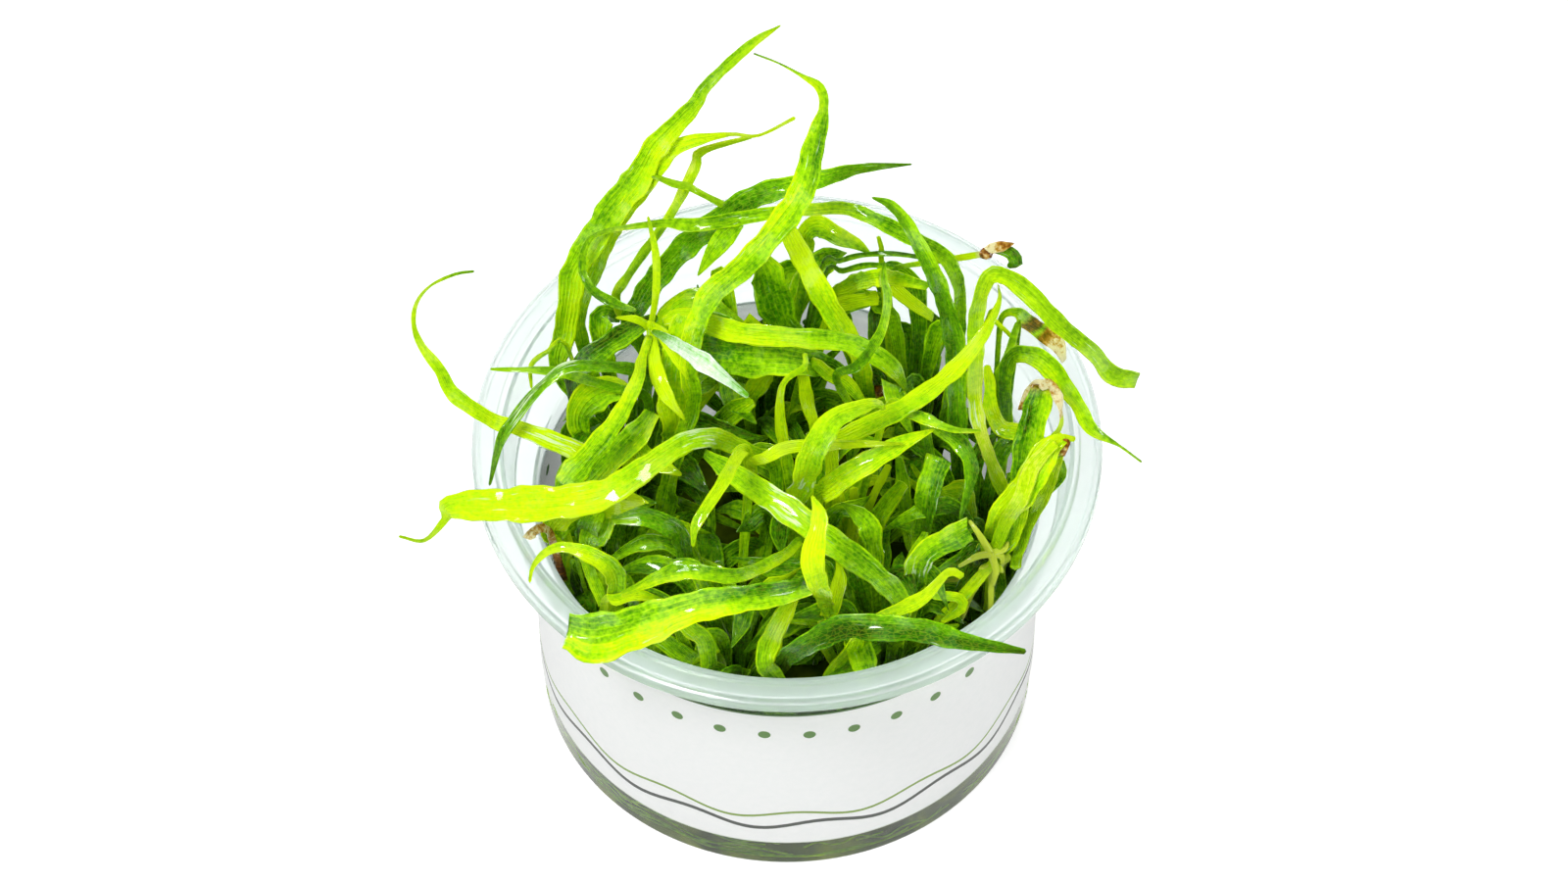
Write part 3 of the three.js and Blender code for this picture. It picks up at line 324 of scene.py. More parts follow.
WITHERED_RIM = [
  [33, -1.5, 65, 0.9], [34, -1, 68, 1.3], [35, -0.5, 70, 0.9], [36, -1, 70, 1.5], [37, -1.5, 71, 1.1],
  [38, -3, 70, 1.4], [38.5, -4, 68, 0.8], [38.5, -4.5, 65, 1.2], [37, -5, 62, 0.8],
]
BROWN_BUD = [[37.5, -7.5, 62, 1.3], [38.5, -7, 63, 2.2], [39.5, -7, 65, 1.2]]

# Crowns: place on the gel, and the direction, reach, rise and width of each short leaf
CROWNS = {
  "crown_back_left": ([-22, 12], [
    [95, 9, 32, 2.6], [165, 9, 26, 2.4], [20, 12, 36, 2.8], [300, 8, 30, 2.6], [230, 9, 22, 2.2],
  ]),
  "crown_back": ([-4, 22], [
    [80, 7, 30, 2.6], [15, 12, 34, 2.8], [300, 12, 38, 3], [250, 12, 30, 2.6], [190, 10, 20, 2.2],
  ]),
  "crown_back_right": ([18, 18], [
    [60, 8, 30, 2.6], [340, 10, 34, 2.6], [250, 12, 38, 3], [200, 10, 26, 2.4], [290, 7, 24, 2.2],
  ]),
  "crown_right": ([28, -2], [
    [70, 8, 26, 2.4], [170, 10, 36, 2.8], [200, 8, 28, 2.6], [280, 6, 22, 2.2], [140, 12, 30, 2.6],
  ]),
  "crown_front_right": ([13, -18], [
    [330, 12, 34, 2.8], [50, 11, 38, 3], [250, 10, 30, 2.6], [180, 8, 26, 2.4], [290, 9, 34, 2.8],
  ]),
  "crown_front": ([-8, -22], [
    [200, 12, 34, 2.8], [240, 8, 36, 2.8], [120, 11, 38, 3], [290, 7, 30, 2.6], [165, 9, 26, 2.4],
  ]),
  "crown_left": ([-26, -8], [
    [310, 12, 36, 2.8], [20, 10, 32, 2.6], [250, 9, 28, 2.6], [80, 8, 26, 2.4], [345, 12, 26, 2.4],
  ]),
  "crown_middle": ([3, -4], [
    [30, 11, 38, 3], [90, 12, 34, 2.8], [150, 11, 38, 3], [200, 10, 30, 2.6], [340, 10, 28, 2.6],
  ]),
}

# Young plantlets off the gel, with their runners, leaves and roots
HIGH_PLANTLET = [-19.3, 10, 69]
ROOTED_PLANTLET = [29, -13.4, 44.3]
RUNNER_HIGH = [
  [-7, 21, 12, 1.2], [-9.5, 21.5, 23, 1.2], [-13, 18.5, 36.5, 1.1], [-17, 15, 50, 1.1],
  [-19, 11.5, 62, 1.1], [-19.5, 10, 69, 1.1],
]
RUNNER_RIGHT = [[27.5, -5.5, 12, 1.4], [28, -9, 20, 1.4], [29, -13, 32, 1.4], [29, -14, 43.5, 1.4]]
HIGH_LEAVES = [
  [[-19.3, 10, 69, 1.4], [-17.5, 7.5, 70.5, 2], [-15.5, 4, 69.5, 1.7], [-14, 2, 67.5, 0.4]],
  [[-19.3, 10, 69, 0.8], [-18.5, 12.5, 74, 1.1], [-18.5, 15.5, 79, 1.2], [-19.5, 18, 84, 0.4]],
  [[-19.3, 10, 69, 1], [-21.5, 9.5, 71.5, 1.2], [-24, 9, 72.5, 0.4]],
  [[-19.3, 10, 69, 1.2], [-18.5, 3, 69, 2.2], [-17, -0.5, 67, 2.2], [-14.5, -2.5, 64, 0.4]],
]
ROOTS = [
  [[29, -14, 44, 0.9], [26.5, -16.5, 41, 0.8], [25, -18.5, 37, 0.5]],
  [[29, -14, 44, 0.9], [29.5, -17.5, 40, 0.8], [29, -18.5, 35, 0.5]],
  [[29, -14, 44, 0.9], [25.5, -14.5, 42, 0.8], [22.5, -14.5, 41, 0.5]],
  [[29, -14.5, 48, 1.2], [31.5, -14, 48, 1], [35.5, -15, 49, 0.5]],
  [[29, -14.5, 48, 1.2], [32, -15, 47, 1], [34, -16.5, 46, 0.5]],
  [[29, -14.5, 48, 1.2], [30.5, -16.5, 46, 1], [31.5, -18.5, 44, 0.5]],
  [[29, -14.5, 48, 1.2], [27, -15, 48, 1], [24.5, -16, 47, 0.5]],
  [[29, -14.5, 48, 1.2], [27.5, -13, 50, 1], [26, -11, 51, 0.5]],
]

# Small leaves, stems and roots that show between the long ones, with how bright each one is
EXTRAS = [
  (0.8, [[-31.5, 12, 62, 0.7], [-34, 11, 62, 0.8], [-36.5, 10, 60, 0.8], [-36.5, 7.5, 58, 0.4]]),
  (0.15, [
    [5, 23, 66, 0.7], [7.5, 21, 70, 0.8], [10.5, 20.5, 72, 0.8], [15, 20, 73, 0.8], [19.5, 18.5, 74, 0.7],
  ]),
  (0.8, [[6.5, 22, 56, 2], [8.5, 21, 60, 2.5], [13, 20.5, 62, 2]]),
  (1, [[14.5, 24.5, 60, 1.4], [15.5, 22, 62, 1.8], [18, 21, 60, 2], [21, 21.5, 56, 1.4]]),
  (0.7, [[29, 15, 66, 0.6], [29.5, 13.5, 66, 0.7], [32, 12, 64, 0.7], [33, 10.5, 62, 0.4]]),
  (0.4, [[33, 12.5, 66, 0.8], [31.5, 10, 62, 1.3], [30, 9, 58, 1.3], [30.5, 8.5, 52, 1]]),
  (0.45, [[37, -9, 47, 1.1], [38.5, -8, 52, 1.4], [39, -6.5, 56, 1.3], [39, -5.5, 58, 0.7]]),
  (1.1, [
    [35, -7, 58, 1], [35.5, -7.5, 62, 1.1], [37, -7, 64, 1.1], [38.5, -6.5, 65, 1.1], [40.5, -6, 64, 0.8],
  ]),
  (1, [
    [19, -20, 46, 1.1], [21, -21, 47, 1.4], [24.5, -21.5, 47, 1.5], [25, -23, 46, 1.4],
    [22, -23.5, 44, 0.7],
  ]),
  (1.1, [
    [5, -25, 42, 1.9], [5.5, -25, 46, 2.4], [7, -24, 52, 2.3], [7.5, -23, 55, 1.7], [7, -21.5, 57, 0.4],
  ]),
  (1, [[-1, -22.5, 42, 1.3], [1.5, -22.5, 43, 1.4], [5.5, -22.5, 42, 1.3]]),
  (0.9, [[6.5, -28, 36, 2.5], [7.5, -28.5, 40, 2.8], [9.5, -28.5, 45, 2.5], [10.5, -27.5, 49, 1.1]]),
  (0.7, [[-15.5, -28.5, 52, 1.9], [-13.5, -29.5, 51, 2.8], [-11.5, -29.5, 48, 2.8], [-11, -30, 42, 2.2]]),
  (0.5, [[-22, -29, 49, 1.9], [-18.5, -29, 46, 2.8], [-13, -29, 42, 2.8], [-8, -28.5, 38, 2]]),
  (0.9, [[-27, -23, 47, 1.1], [-24.5, -23.5, 49, 1.7], [-21, -23, 50, 1.7], [-17, -23, 48, 0.8]]),
  (0.6, [[-30, -17, 53, 0.6], [-29.5, -18, 51, 1.5], [-28.5, -19, 49, 1.8], [-26, -20.5, 44, 1.7]]),
  (1.5, [[10, -5.5, 39, 1.3], [12, -4, 46, 1.3], [14.5, -2, 52, 1.1]]),
  (1.5, [[9, -5.5, 39, 1.3], [9.5, -4.5, 45, 1.3], [9.5, -4.5, 50, 1.1]]),
  (1.4, [[8, -4.5, 40, 1.8], [7.5, -4.5, 46, 2], [7, -4, 50, 1.4]]),
  (0.6, [[11, -7.5, 38, 2.5], [12.5, -7.5, 45, 2.8], [14.5, -7, 50, 2.7], [16.5, -6.5, 54, 1.9]]),
  (0.6, [[18, -6.5, 38, 1.7], [17, -4.5, 45, 2], [16.5, -3, 50, 2], [16, -2, 54, 1.1]]),
  (0.9, [[4, 4.5, 50, 1.5], [3, 6.5, 55, 2], [2.5, 7.5, 59, 2], [2, 9, 62, 1.4]]),
  (0.6, [[3, 10, 60, 1.4], [6, 9, 59, 2.2], [8.5, 9, 57, 2.2], [11, 8.5, 53, 1.1]]),
  (0.3, [
    [7.5, 11, 56, 2.5], [4.5, 10, 60, 3.5], [-0.5, 8, 64, 5], [-6, 7.5, 65, 5.6], [-12, 8, 66, 5.2],
    [-17, 9.5, 66, 3.5], [-19, 11, 66, 1],
  ]),
  (0.7, [[-16, 4, 52, 4], [-16, 4, 58, 5], [-15.5, 5, 65, 5.4], [-15, 6.5, 70, 5], [-14, 8, 74, 3.5]]),
  (0.7, [
    [-29, 5.5, 47, 2], [-30, 6, 52, 3.5], [-28.5, 6.5, 56, 5], [-25.5, 7, 58, 4.5], [-23, 6.5, 58, 2.5],
    [-22, 5.5, 57, 0.5],
  ]),
  (0.6, [[-11.5, 9, 44, 2], [-9.5, 8.5, 48, 3], [-7, 8, 52, 3.2], [-5, 8, 54, 2]]),
  (0.65, [[-5.5, 12, 48, 2], [-4.5, 11, 53, 3], [-3, 10.5, 57, 3], [-2, 9.5, 59, 1]]),
  (0.6, [[-28, -15, 50, 3], [-27, -15, 54, 4.5], [-25.5, -14.5, 59, 5], [-24, -14, 62, 4]]),
  (0.75, [[-36.5, -14.5, 48, 1.5], [-35, -14.5, 52, 3], [-32, -14, 56, 3.5], [-28.5, -14, 59, 2.2]]),
  (1, [[-27.5, -12, 58, 1.5], [-24.5, -14.5, 63, 1.3], [-21.5, -16, 64, 1.1], [-19.5, -17, 64, 0.3]]),
  (1.1, [[-27.5, -14, 56, 1.8], [-24.5, -16, 61, 2.2], [-22, -16.5, 63, 1.6], [-20, -17, 64, 0.4]]),
  (0.8, [[-22, -2.5, 58, 2], [-20, -6, 60, 2.6], [-17.5, -8.5, 61, 2.4], [-15, -10, 61, 0.6]]),
  (0.5, [[-16.5, -2.5, 42, 1.2], [-16.5, -3.5, 48, 1.3], [-16, -4, 53, 1.2]]),
  (0.2, [
    [-32, 13, 50, 2], [-30, 12, 56, 3], [-27.5, 11, 61, 3.6], [-24, 11, 65, 3.4], [-21, 11, 68, 2.6],
    [-18.5, 11, 70, 1.2],
  ]),
  (0.3, [
    [1.5, 19.5, 52, 3], [-0.5, 19.5, 57, 4.5], [-2, 20.5, 62, 5.3], [-3, 21, 67, 4.8], [-4, 21, 71, 2.5],
  ]),
  (0.45, [[8.5, 24, 54, 1.5], [10, 23, 58, 2.4], [12.5, 22, 60, 2.4], [15, 22, 59, 1]]),
  (0.55, [
    [3, 28, 62, 1.5], [2.5, 27, 68, 2.5], [4.5, 26.5, 71, 3.2], [7.5, 24.5, 71, 2.8], [10, 24, 70, 1.8],
    [12, 23, 69, 0.3],
  ]),
  (0.15, [[5.5, 21.5, 66, 0.8], [8, 20, 69, 0.9], [11.5, 19.5, 71, 0.9], [15, 18.5, 72, 0.8]]),
  (0.9, [[13.5, 21.5, 69, 0.8], [13.5, 21.5, 72, 0.8], [13, 21.5, 75, 0.6]]),
  (0.8, [
    [30, -12, 53, 3.6], [33, -10.5, 57, 4.3], [35, -9.5, 61, 4.2], [37, -7.5, 64, 3.4], [39, -6.5, 65, 1.8],
  ]),
  (1.3, [[21.5, -19.5, 38, 1.4], [24.5, -18.5, 42, 1.7], [27.5, -16.5, 45, 1.7], [30, -14, 46, 1.4]]),
]
DRIED_BITS = [
  (0.25, [[11, 17, 40, 1.5], [12, 16.5, 44, 2.4], [14, 15.5, 46, 1.4]]),
  (0.55, [[-37, -17, 55, 1.2], [-36.5, -17.5, 56.5, 1.5], [-35.5, -17.5, 57, 0.9]]),
]

# Slots of the leaves that are not leaf_mid, and finishes that are not those of the slot
SLOTS = {
    "leaf_dark": (
        "dark_back", "dark_hook", "left_dark_arch", "left_point", "front_right_dark", "dark_right",
        "dark_mid_left", "left_edge", "left_low", "back_mid",
    ),
    "leaf_bright": (
        "tall_left", "diagonal_bright", "bright_bent", "bright_over", "centre_broad", "centre_diagonal",
        "broad_left", "front_bright", "pale_glossy",
    ),
    "stem_pale": ("runner_back", "right_stem", "right_stem_outer", "bent_right"),
}
# pale_glossy takes the finish with its glossy reflection painted in
FINISH = {"pale_glossy": "painted_sheen_pale", "back_mid": "leaf_mid"}
# Leaves that end square
CUT = ("bent_right", "front_left_fold", "cut_right", "folded_cut", "left_low", "wilted_broad")
# How bright each leaf is, from its crown to its tip
TONES = {
    "tall_left": (0.5, 0.5, 0.45, 0.7), "tall_left_side": (0.5, 0.55, 0.7, 1), "runner_back": (0.2, 0.35),
    "dark_back": (0.3, 0.5), "tall_arch": (0.65, 0.55, 0.55, 0.5), "long_curl": (0.35, 0.45),
    "dark_hook": (0.35, 0.55), "bent_right": (0.6, 0.65, 0.65, 0.2, 0.2), "diagonal_bright": (0.7, 0.8),
    "drooping_right": (0.4, 0.5), "far_left_curl": (1.3, 0.4), "broad_left": (0.4, 0.4, 0.45, 0.7, 0.8),
    "left_dark_arch": (0.3, 0.5), "left_point": (0.4, 0.7), "front_left_fold": (0.4, 0.4),
    "front_right_dark": (0.1, 0.1, 0.1, 0.1, 0.1, 0.15, 0.5, 0.25, 0.15), "two_tone_tip": (0.45, 0.78),
    "centre_diagonal": (0.35, 0.4), "bright_bent": (0.6, 0.75), "centre_broad": (0.5, 0.6),
    "bright_over": (0.85, 0.35), "pale_glossy": (0.1, 0.1, 0.55, 0.7, 0.3), "down_left": (0.6, 0.45),
    "broad_blunt": (0.6, 0.5), "curly_front_left": (0.45, 0.85), "upright_narrow": (0.55, 0.35),
    "centre_drop": (0.35, 0.8), "under_diagonal": (0.4, 0.75), "thin_point": (0.55, 0.7),
    "dark_right": (0.5, 0.6), "cut_right": (0.3, 0.3), "folded_cut": (0.3, 0.5),
    "front_bright": (0.5, 0.75), "front_over": (0.65, 0.5), "dark_mid_left": (0.3, 0.5),
    "left_edge": (0.5, 0.75), "left_low": (0.5, 0.65), "wilted_broad": (0.7, 0.25),
    "right_stem": (0.5, 0.6), "right_stem_outer": (0.45, 0.5), "u_shaped": (0.95, 0.95),
    "twisted_narrow": (0.45, 0.75), "wilted_top": (0.5, 0.5, 0.5, 0.5, 0.5, 0.5, 0.5, 0.15, 1.8),
    "front_right_curl": (0.75, 0.85), "back_mid": (0.65, 0.65),
    "brown_tipped": (0.4, 0.4, 0.4, 0.3, 0.3, 1.3),
}
# How a leaf's shape and finish differ from a plain one, and where light, shade and highlights are painted on
# it
STYLE = {
    "tall_left_side": dict(least=0.55),
    "tall_left": dict(gutter=0.25, lit_halves=(-0.12, 0.12)),
    "tall_arch": dict(gutter=0.3, lit_halves=(0.1, -0.12)),
    "broad_left": dict(gutter=0.12, twist=6, roll=(0, 0), painted_glint=[(0.52, 0.6)]),
    "far_left_curl": dict(gutter=0.2, twist=4, roll=(0, 0), painted_glint=[(0.5, 0.58)]),
    "diagonal_bright": dict(gutter=0.2, twist=8),
    "dark_hook": dict(lit_halves=(-0.12, 0.15)),
    "brown_tipped": dict(dry=[(0.99, 1.1)]),
    "wilted_top": dict(dry=[(0.85, 0.895, 0.8), (0.905, 1.1, 0.9)]),
    "wilted_broad": dict(dry=[(0.97, 1.1)], lit_halves=(-0.15, 0.3), gutter=0.3),
    "front_left_fold": dict(gutter=0.4, lit_halves=(0.24, -0.2), twist=5, roll=(0, 0)),
    "front_right_dark": dict(gutter=0.4, lit_halves=(0.22, -0.05), twist=6),
    "folded_cut": dict(gutter=0.35, twist=6, painted_glint=[(0.72, 0.84)]),
    "centre_diagonal": dict(gutter=0.25, twist=8, painted_glint=[(0.76, 0.85)]),
    "centre_broad": dict(painted_glint=[(0.63, 0.69)]),
    "dark_mid_left": dict(painted_glint=[(0.93, 0.97)]),
    "bent_right": dict(painted_glint=[(0.48, 0.53)]),
    "left_dark_arch": dict(painted_glint=[(0.74, 0.9)]),
}
# Small pieces that are one with a long leaf, each with its style
TRIMMINGS = {
    "bright_bent": ((FORK, dict(tone=(0.8, 0.9))),),
    "runner_back": ((CROSSING_RUNNER, dict(tone=0.2, thick=0.9, gutter=0, wave=0)),),
    "long_curl": ((SIDE_LEAF, dict(tone=0.5)),),
    "brown_tipped": (
        (DRIED_KNOT, dict(tone=0.0, thick=1.4, dry=[(-1, 2)])),
        (DRIED_TIP, dict(tone=1.0, thick=1.0, dry=[(-1, 2)])),
        (DARK_CURL, dict(tone=0.3, thick=0.9, gutter=0.3)),
    ),
    "wilted_broad": (
        (WITHERED_RIM, dict(tone=(0.9, 0.8, 1.2), thick=0.7, wave=0.4, twist=30, dry=[(-1, 0.7)])),
        (BROWN_BUD, dict(tone=0.4, thick=1.4, dry=[(0.2, 2)])),
    ),
}
# Leaf finishes: material, roughness, share of light let through, and colours from shade to light
FINISHES = {
    "leaf_bright": (
        "leaf_blade_bright", 0.42, 0.2,
        [(0.0, "#124000"), (0.3, "#4a9400"), (0.6, "#98d600"), (1.0, "#ccf000")],
    ),
    "leaf_mid": (
        "leaf_blade_mid", 0.38, 0.18,
        [(0.0, "#0e3200"), (0.35, "#3f8a00"), (0.68, "#98d800"), (1.0, "#d4f800")],
    ),
    "leaf_dark": (
        "leaf_blade_dark", 0.34, 0.15,
        [(0.0, "#082200"), (0.4, "#266800"), (0.8, "#66b000"), (1.0, "#a4e000")],
    ),
    "stem_pale": (
        "stem_pale_green", 0.4, 0.25,
        [(0.0, "#4a8a00"), (0.4, "#98d000"), (0.8, "#d0f400"), (1.0, "#ecfc50")],
    ),
    # painted reflection: this finish runs up to near white, a glossy reflection painted into the leaf's
    # colour
    "painted_sheen_pale": (
        "leaf_blade_wet_pale", 0.2, 0.2,
        [(0.0, "#2c8a00"), (0.4, "#6cc400"), (0.65, "#bcecb0"), (1.0, "#f4fff4")],
    ),
}


def linear(text):
    """An sRGB hex colour as the linear values that Blender's sockets take."""
    parts = [int(text[i : i + 2], 16) / 255 for i in (1, 3, 5)]
    return tuple(c / 12.92 if c <= 0.04045 else ((c + 0.055) / 1.055) ** 2.4 for c in parts) + (1.0,)


def add(tree, kind, inputs=(), stops=(), **settings):
    """Adds a node, fills its sockets by number or name, and returns it.

    An input is a number, a colour, a socket, or a node, which gives its first output in use. A
    setting is a property of the node, or the constant of a socket. Stops are those of a colour ramp.
    """
    node = tree.nodes.new("ShaderNode" + kind)
    if stops:
        elements = node.color_ramp.elements
        while len(elements) < len(stops):
            elements.new(0.5)
        for element, (position, colour) in zip(elements, stops):
            element.position = position
            element.color = linear(colour)
    named = dict(inputs) if isinstance(inputs, dict) else dict(enumerate(inputs))
    for key, value in settings.items():
        if hasattr(node, key):
            setattr(node, key, value)
        else:
            named[key.replace("_", " ")] = value
    for key, value in named.items():
        if isinstance(value, bpy.types.Node):
            value = next(output for output in value.outputs if output.enabled)
        if isinstance(value, bpy.types.NodeSocket):
            tree.links.new(value, node.inputs[key])
        else:
            node.inputs[key].default_value = linear(value) if isinstance(value, str) else value
    return node


def new_material(name):
    material = bpy.data.materials.new(name)
    material.use_nodes = True
    material.node_tree.nodes.clear()
    return material, material.node_tree


def leaf_material(name, rough, glow, stops):
    """Damp leaf blade: a thin green skin with fine veins along it, mottled, and lit through.

    Light and shade are painted into the colour: lime green where light comes through, deep green in
    the shade. Veins make pale lines that run the whole length. Where the blade is wet, pale streaks
    are painted highlights, and the glints from its film of water are real. The specks are drawn
    coarser than a leaf's cells, so that they show.
    """
    material, tree = new_material(name)
    # the tone attribute holds each leaf's own tone together with its painted light and shade
    tone, dry, painted_glint_stretches = (
        add(tree, "Attribute", attribute_name=key).outputs["Fac"] for key in ("tone", "dry", "painted_glint")
    )
    split = add(tree, "SeparateXYZ", [add(tree, "UVMap", uv_map="UVMap")])
    across, along = split.outputs["X"], split.outputs["Y"]
    place = add(tree, "TexCoord").outputs["Object"]
    mottle, patches, specks = (
        add(tree, "TexNoise", {"Vector": place}, Scale=scale, Detail=detail)
        for scale, detail in ((210.0, 5.0), (60.0, 2.0), (1500.0, 3.0))
    )
    # ridges: streaks that run along the blade, wider and finer ones
    wide = add(tree, "Math", (across, 5.0), operation="MULTIPLY")
    long = add(tree, "Math", (along, 0.35), operation="MULTIPLY")
    lengthways = add(tree, "CombineXYZ", (wide, long))
    streaks = add(tree, "TexNoise", {"Vector": lengthways}, Scale=1.6, Detail=4.0)
    lines = add(tree, "Math", (across, 2 * math.pi * 3.5), operation="MULTIPLY")
    lines = add(tree, "Math", [add(tree, "Math", [lines], operation="SINE")], operation="ABSOLUTE")
    lines = add(tree, "Math", (lines, 8.0), operation="POWER")
    # cross veins: short pale bars between the ridges
    net = add(tree, "CombineXYZ", (add(tree, "Math", (across, 2.0), operation="MULTIPLY"), along))
    cells = add(tree, "TexVoronoi", {"Vector": net}, feature="DISTANCE_TO_EDGE", Scale=3.6)
    cross = add(tree, "Math", (cells.outputs["Distance"], 8.0), operation="MULTIPLY")
    cross = add(tree, "Math", (1.0, cross), operation="SUBTRACT", use_clamp=True)
    # painted light: the thin margins are drawn lighter, as light shows through them
    lit_margin = add(tree, "Math", (across, 2.0, -1.0), operation="MULTIPLY_ADD")
    lit_margin = add(tree, "Math", [lit_margin], operation="ABSOLUTE")
    lit_margin = add(tree, "Math", (lit_margin, 8.0), operation="POWER")
    lit_margin = add(tree, "Math", (lit_margin, 0.3, 0.12), operation="MULTIPLY_ADD")
    level = add(tree, "Math", (tone, lit_margin), operation="ADD")
    for pattern, gain in ((mottle, 0.45), (patches, 0.8), (streaks, 0.6), (specks, 0.75)):
        swing = add(tree, "Math", (pattern, 0.5), operation="SUBTRACT")
        level = add(tree, "Math", (swing, gain, level), operation="MULTIPLY_ADD")
    level = add(tree, "Math", (lines, 0.14, level), operation="MULTIPLY_ADD", use_clamp=True)
    green = add(tree, "ValToRGB", [level], stops)
    cross = add(tree, "Math", (cross, 0.16), operation="MULTIPLY")
    green = add(tree, "Mix", {0: cross, 6: green, 7: "#dcf23c"}, data_type="RGBA")
    # withered stretches: straw to dark brown
    faded = mottle
    for pattern, gain in ((tone, 0.35), (specks, 0.8)):
        swing = add(tree, "Math", (pattern, 0.5), operation="SUBTRACT")
        faded = add(tree, "Math", (swing, gain, faded), operation="MULTIPLY_ADD")
    browns = [(0.3, "#4c1c02"), (0.45, "#94560c"), (0.56, "#c89a3c"), (0.7, "#f0e6b0")]
    brown = add(tree, "ValToRGB", [faded], browns)
    # painted highlight: short pale streaks along the blade where it is wet, mixed into its colour
    painted_glint = add(tree, "TexNoise", {"Vector": lengthways}, Scale=1.4, Detail=3.0, Distortion=0.6)
    painted_glint = add(tree, "Math", (painted_glint_stretches, 0.15, painted_glint), operation="MULTIPLY_ADD")
    painted_glint = add(tree, "Math", (painted_glint, 0.67), operation="SUBTRACT")
    painted_glint = add(tree, "Math", (painted_glint, 12.0), operation="MULTIPLY", use_clamp=True)
    painted_glint = add(tree, "Math", (painted_glint, 0.8), operation="MULTIPLY")
    green = add(tree, "Mix", {0: painted_glint, 6: green, 7: "#ecffd0"}, data_type="RGBA")
    colour = add(tree, "Mix", {0: dry, 6: green, 7: brown}, data_type="RGBA")
    rough_now = add(tree, "Math", (patches, 0.4, rough - 0.15), operation="MULTIPLY_ADD", use_clamp=True)
    # film of water: only here and there, with white glints
    film = add(tree, "Math", (mottle, 0.52), operation="SUBTRACT")
    film = add(tree, "Math", (film, 12.0), operation="MULTIPLY", use_clamp=True)
    height = add(tree, "Math", (lines, 0.4), operation="MULTIPLY")
    for pattern, gain in ((mottle, 0.6), (streaks, 1.6), (specks, 0.3)):
        height = add(tree, "Math", (pattern, gain, height), operation="MULTIPLY_ADD")
    bump = add(tree, "Bump", {"Height": height}, Strength=0.75, Distance=0.0003)
    shader = add(
        tree, "BsdfPrincipled",
        {"Base Color": colour, "Roughness": rough_now, "Normal": bump, "Coat Weight": film},
        IOR=1.4, Coat_Roughness=0.05, Specular_Tint=(0.85, 1, 0.2, 1), Specular_IOR_Level=0.35,
    )
    through = add(tree, "Mix", {0: 0.35, 6: colour, 7: "#d2f400"}, data_type="RGBA")
    lit = add(tree, "BsdfTranslucent", {"Color": through, "Normal": bump})
    add(tree, "OutputMaterial", [add(tree, "MixShader", (glow, shader, lit))])


def leaf_materials():
    """The five finishes of leaf, made once."""
    for row in FINISHES.values():
        if row[0] not in bpy.data.materials:
            leaf_material(*row)
    return {key: bpy.data.materials[row[0]] for key, row in FINISHES.items()}


def spline(points, per_mm=1 / STEP_MM):
    """Samples of a smooth line through points; any further column, such as width, goes straight."""
    p = np.asarray(points, float)
    ends = np.vstack([2 * p[0] - p[1], p, 2 * p[-1] - p[-2]])
    rows = []
    for i in range(len(p) - 1):
        a, b, c, d = ends[i : i + 4]
        n = max(2, math.ceil(np.linalg.norm((c - b)[:3]) * per_mm))
        t = np.arange(n)[:, None] / n
        curve = 2 * b + (c - a) * t + (2 * a - 5 * b + 4 * c - d) * t**2 + (3 * b - a - 3 * c + d) * t**3
        rows.append(0.5 * curve)
        rows[-1][:, 3:] = b[3:] + (c[3:] - b[3:]) * t
    return np.vstack(rows + [p[-1:]])


def smooth(values, times):
    for _ in range(times):
        values[1:-1] = (values[:-2] + 2 * values[1:-1] + values[2:]) / 4
    return values


def section_frames(line, roll):
    """Tangent, upward normal and width direction at each sample of a midline."""
    tangent = smooth(np.gradient(line, axis=0), 2)
    tangent /= np.linalg.norm(tangent, axis=1)[:, None]
    normal = FACING - (tangent @ FACING)[:, None] * tangent
    normal = smooth(normal, 12)
    normal -= (normal * tangent).sum(1)[:, None] * tangent
    normal /= np.linalg.norm(normal, axis=1)[:, None]
    side = np.cross(tangent, normal)
    c, s = np.cos(roll)[:, None], np.sin(roll)[:, None]
    return tangent, normal * c + side * s, side * c - normal * s


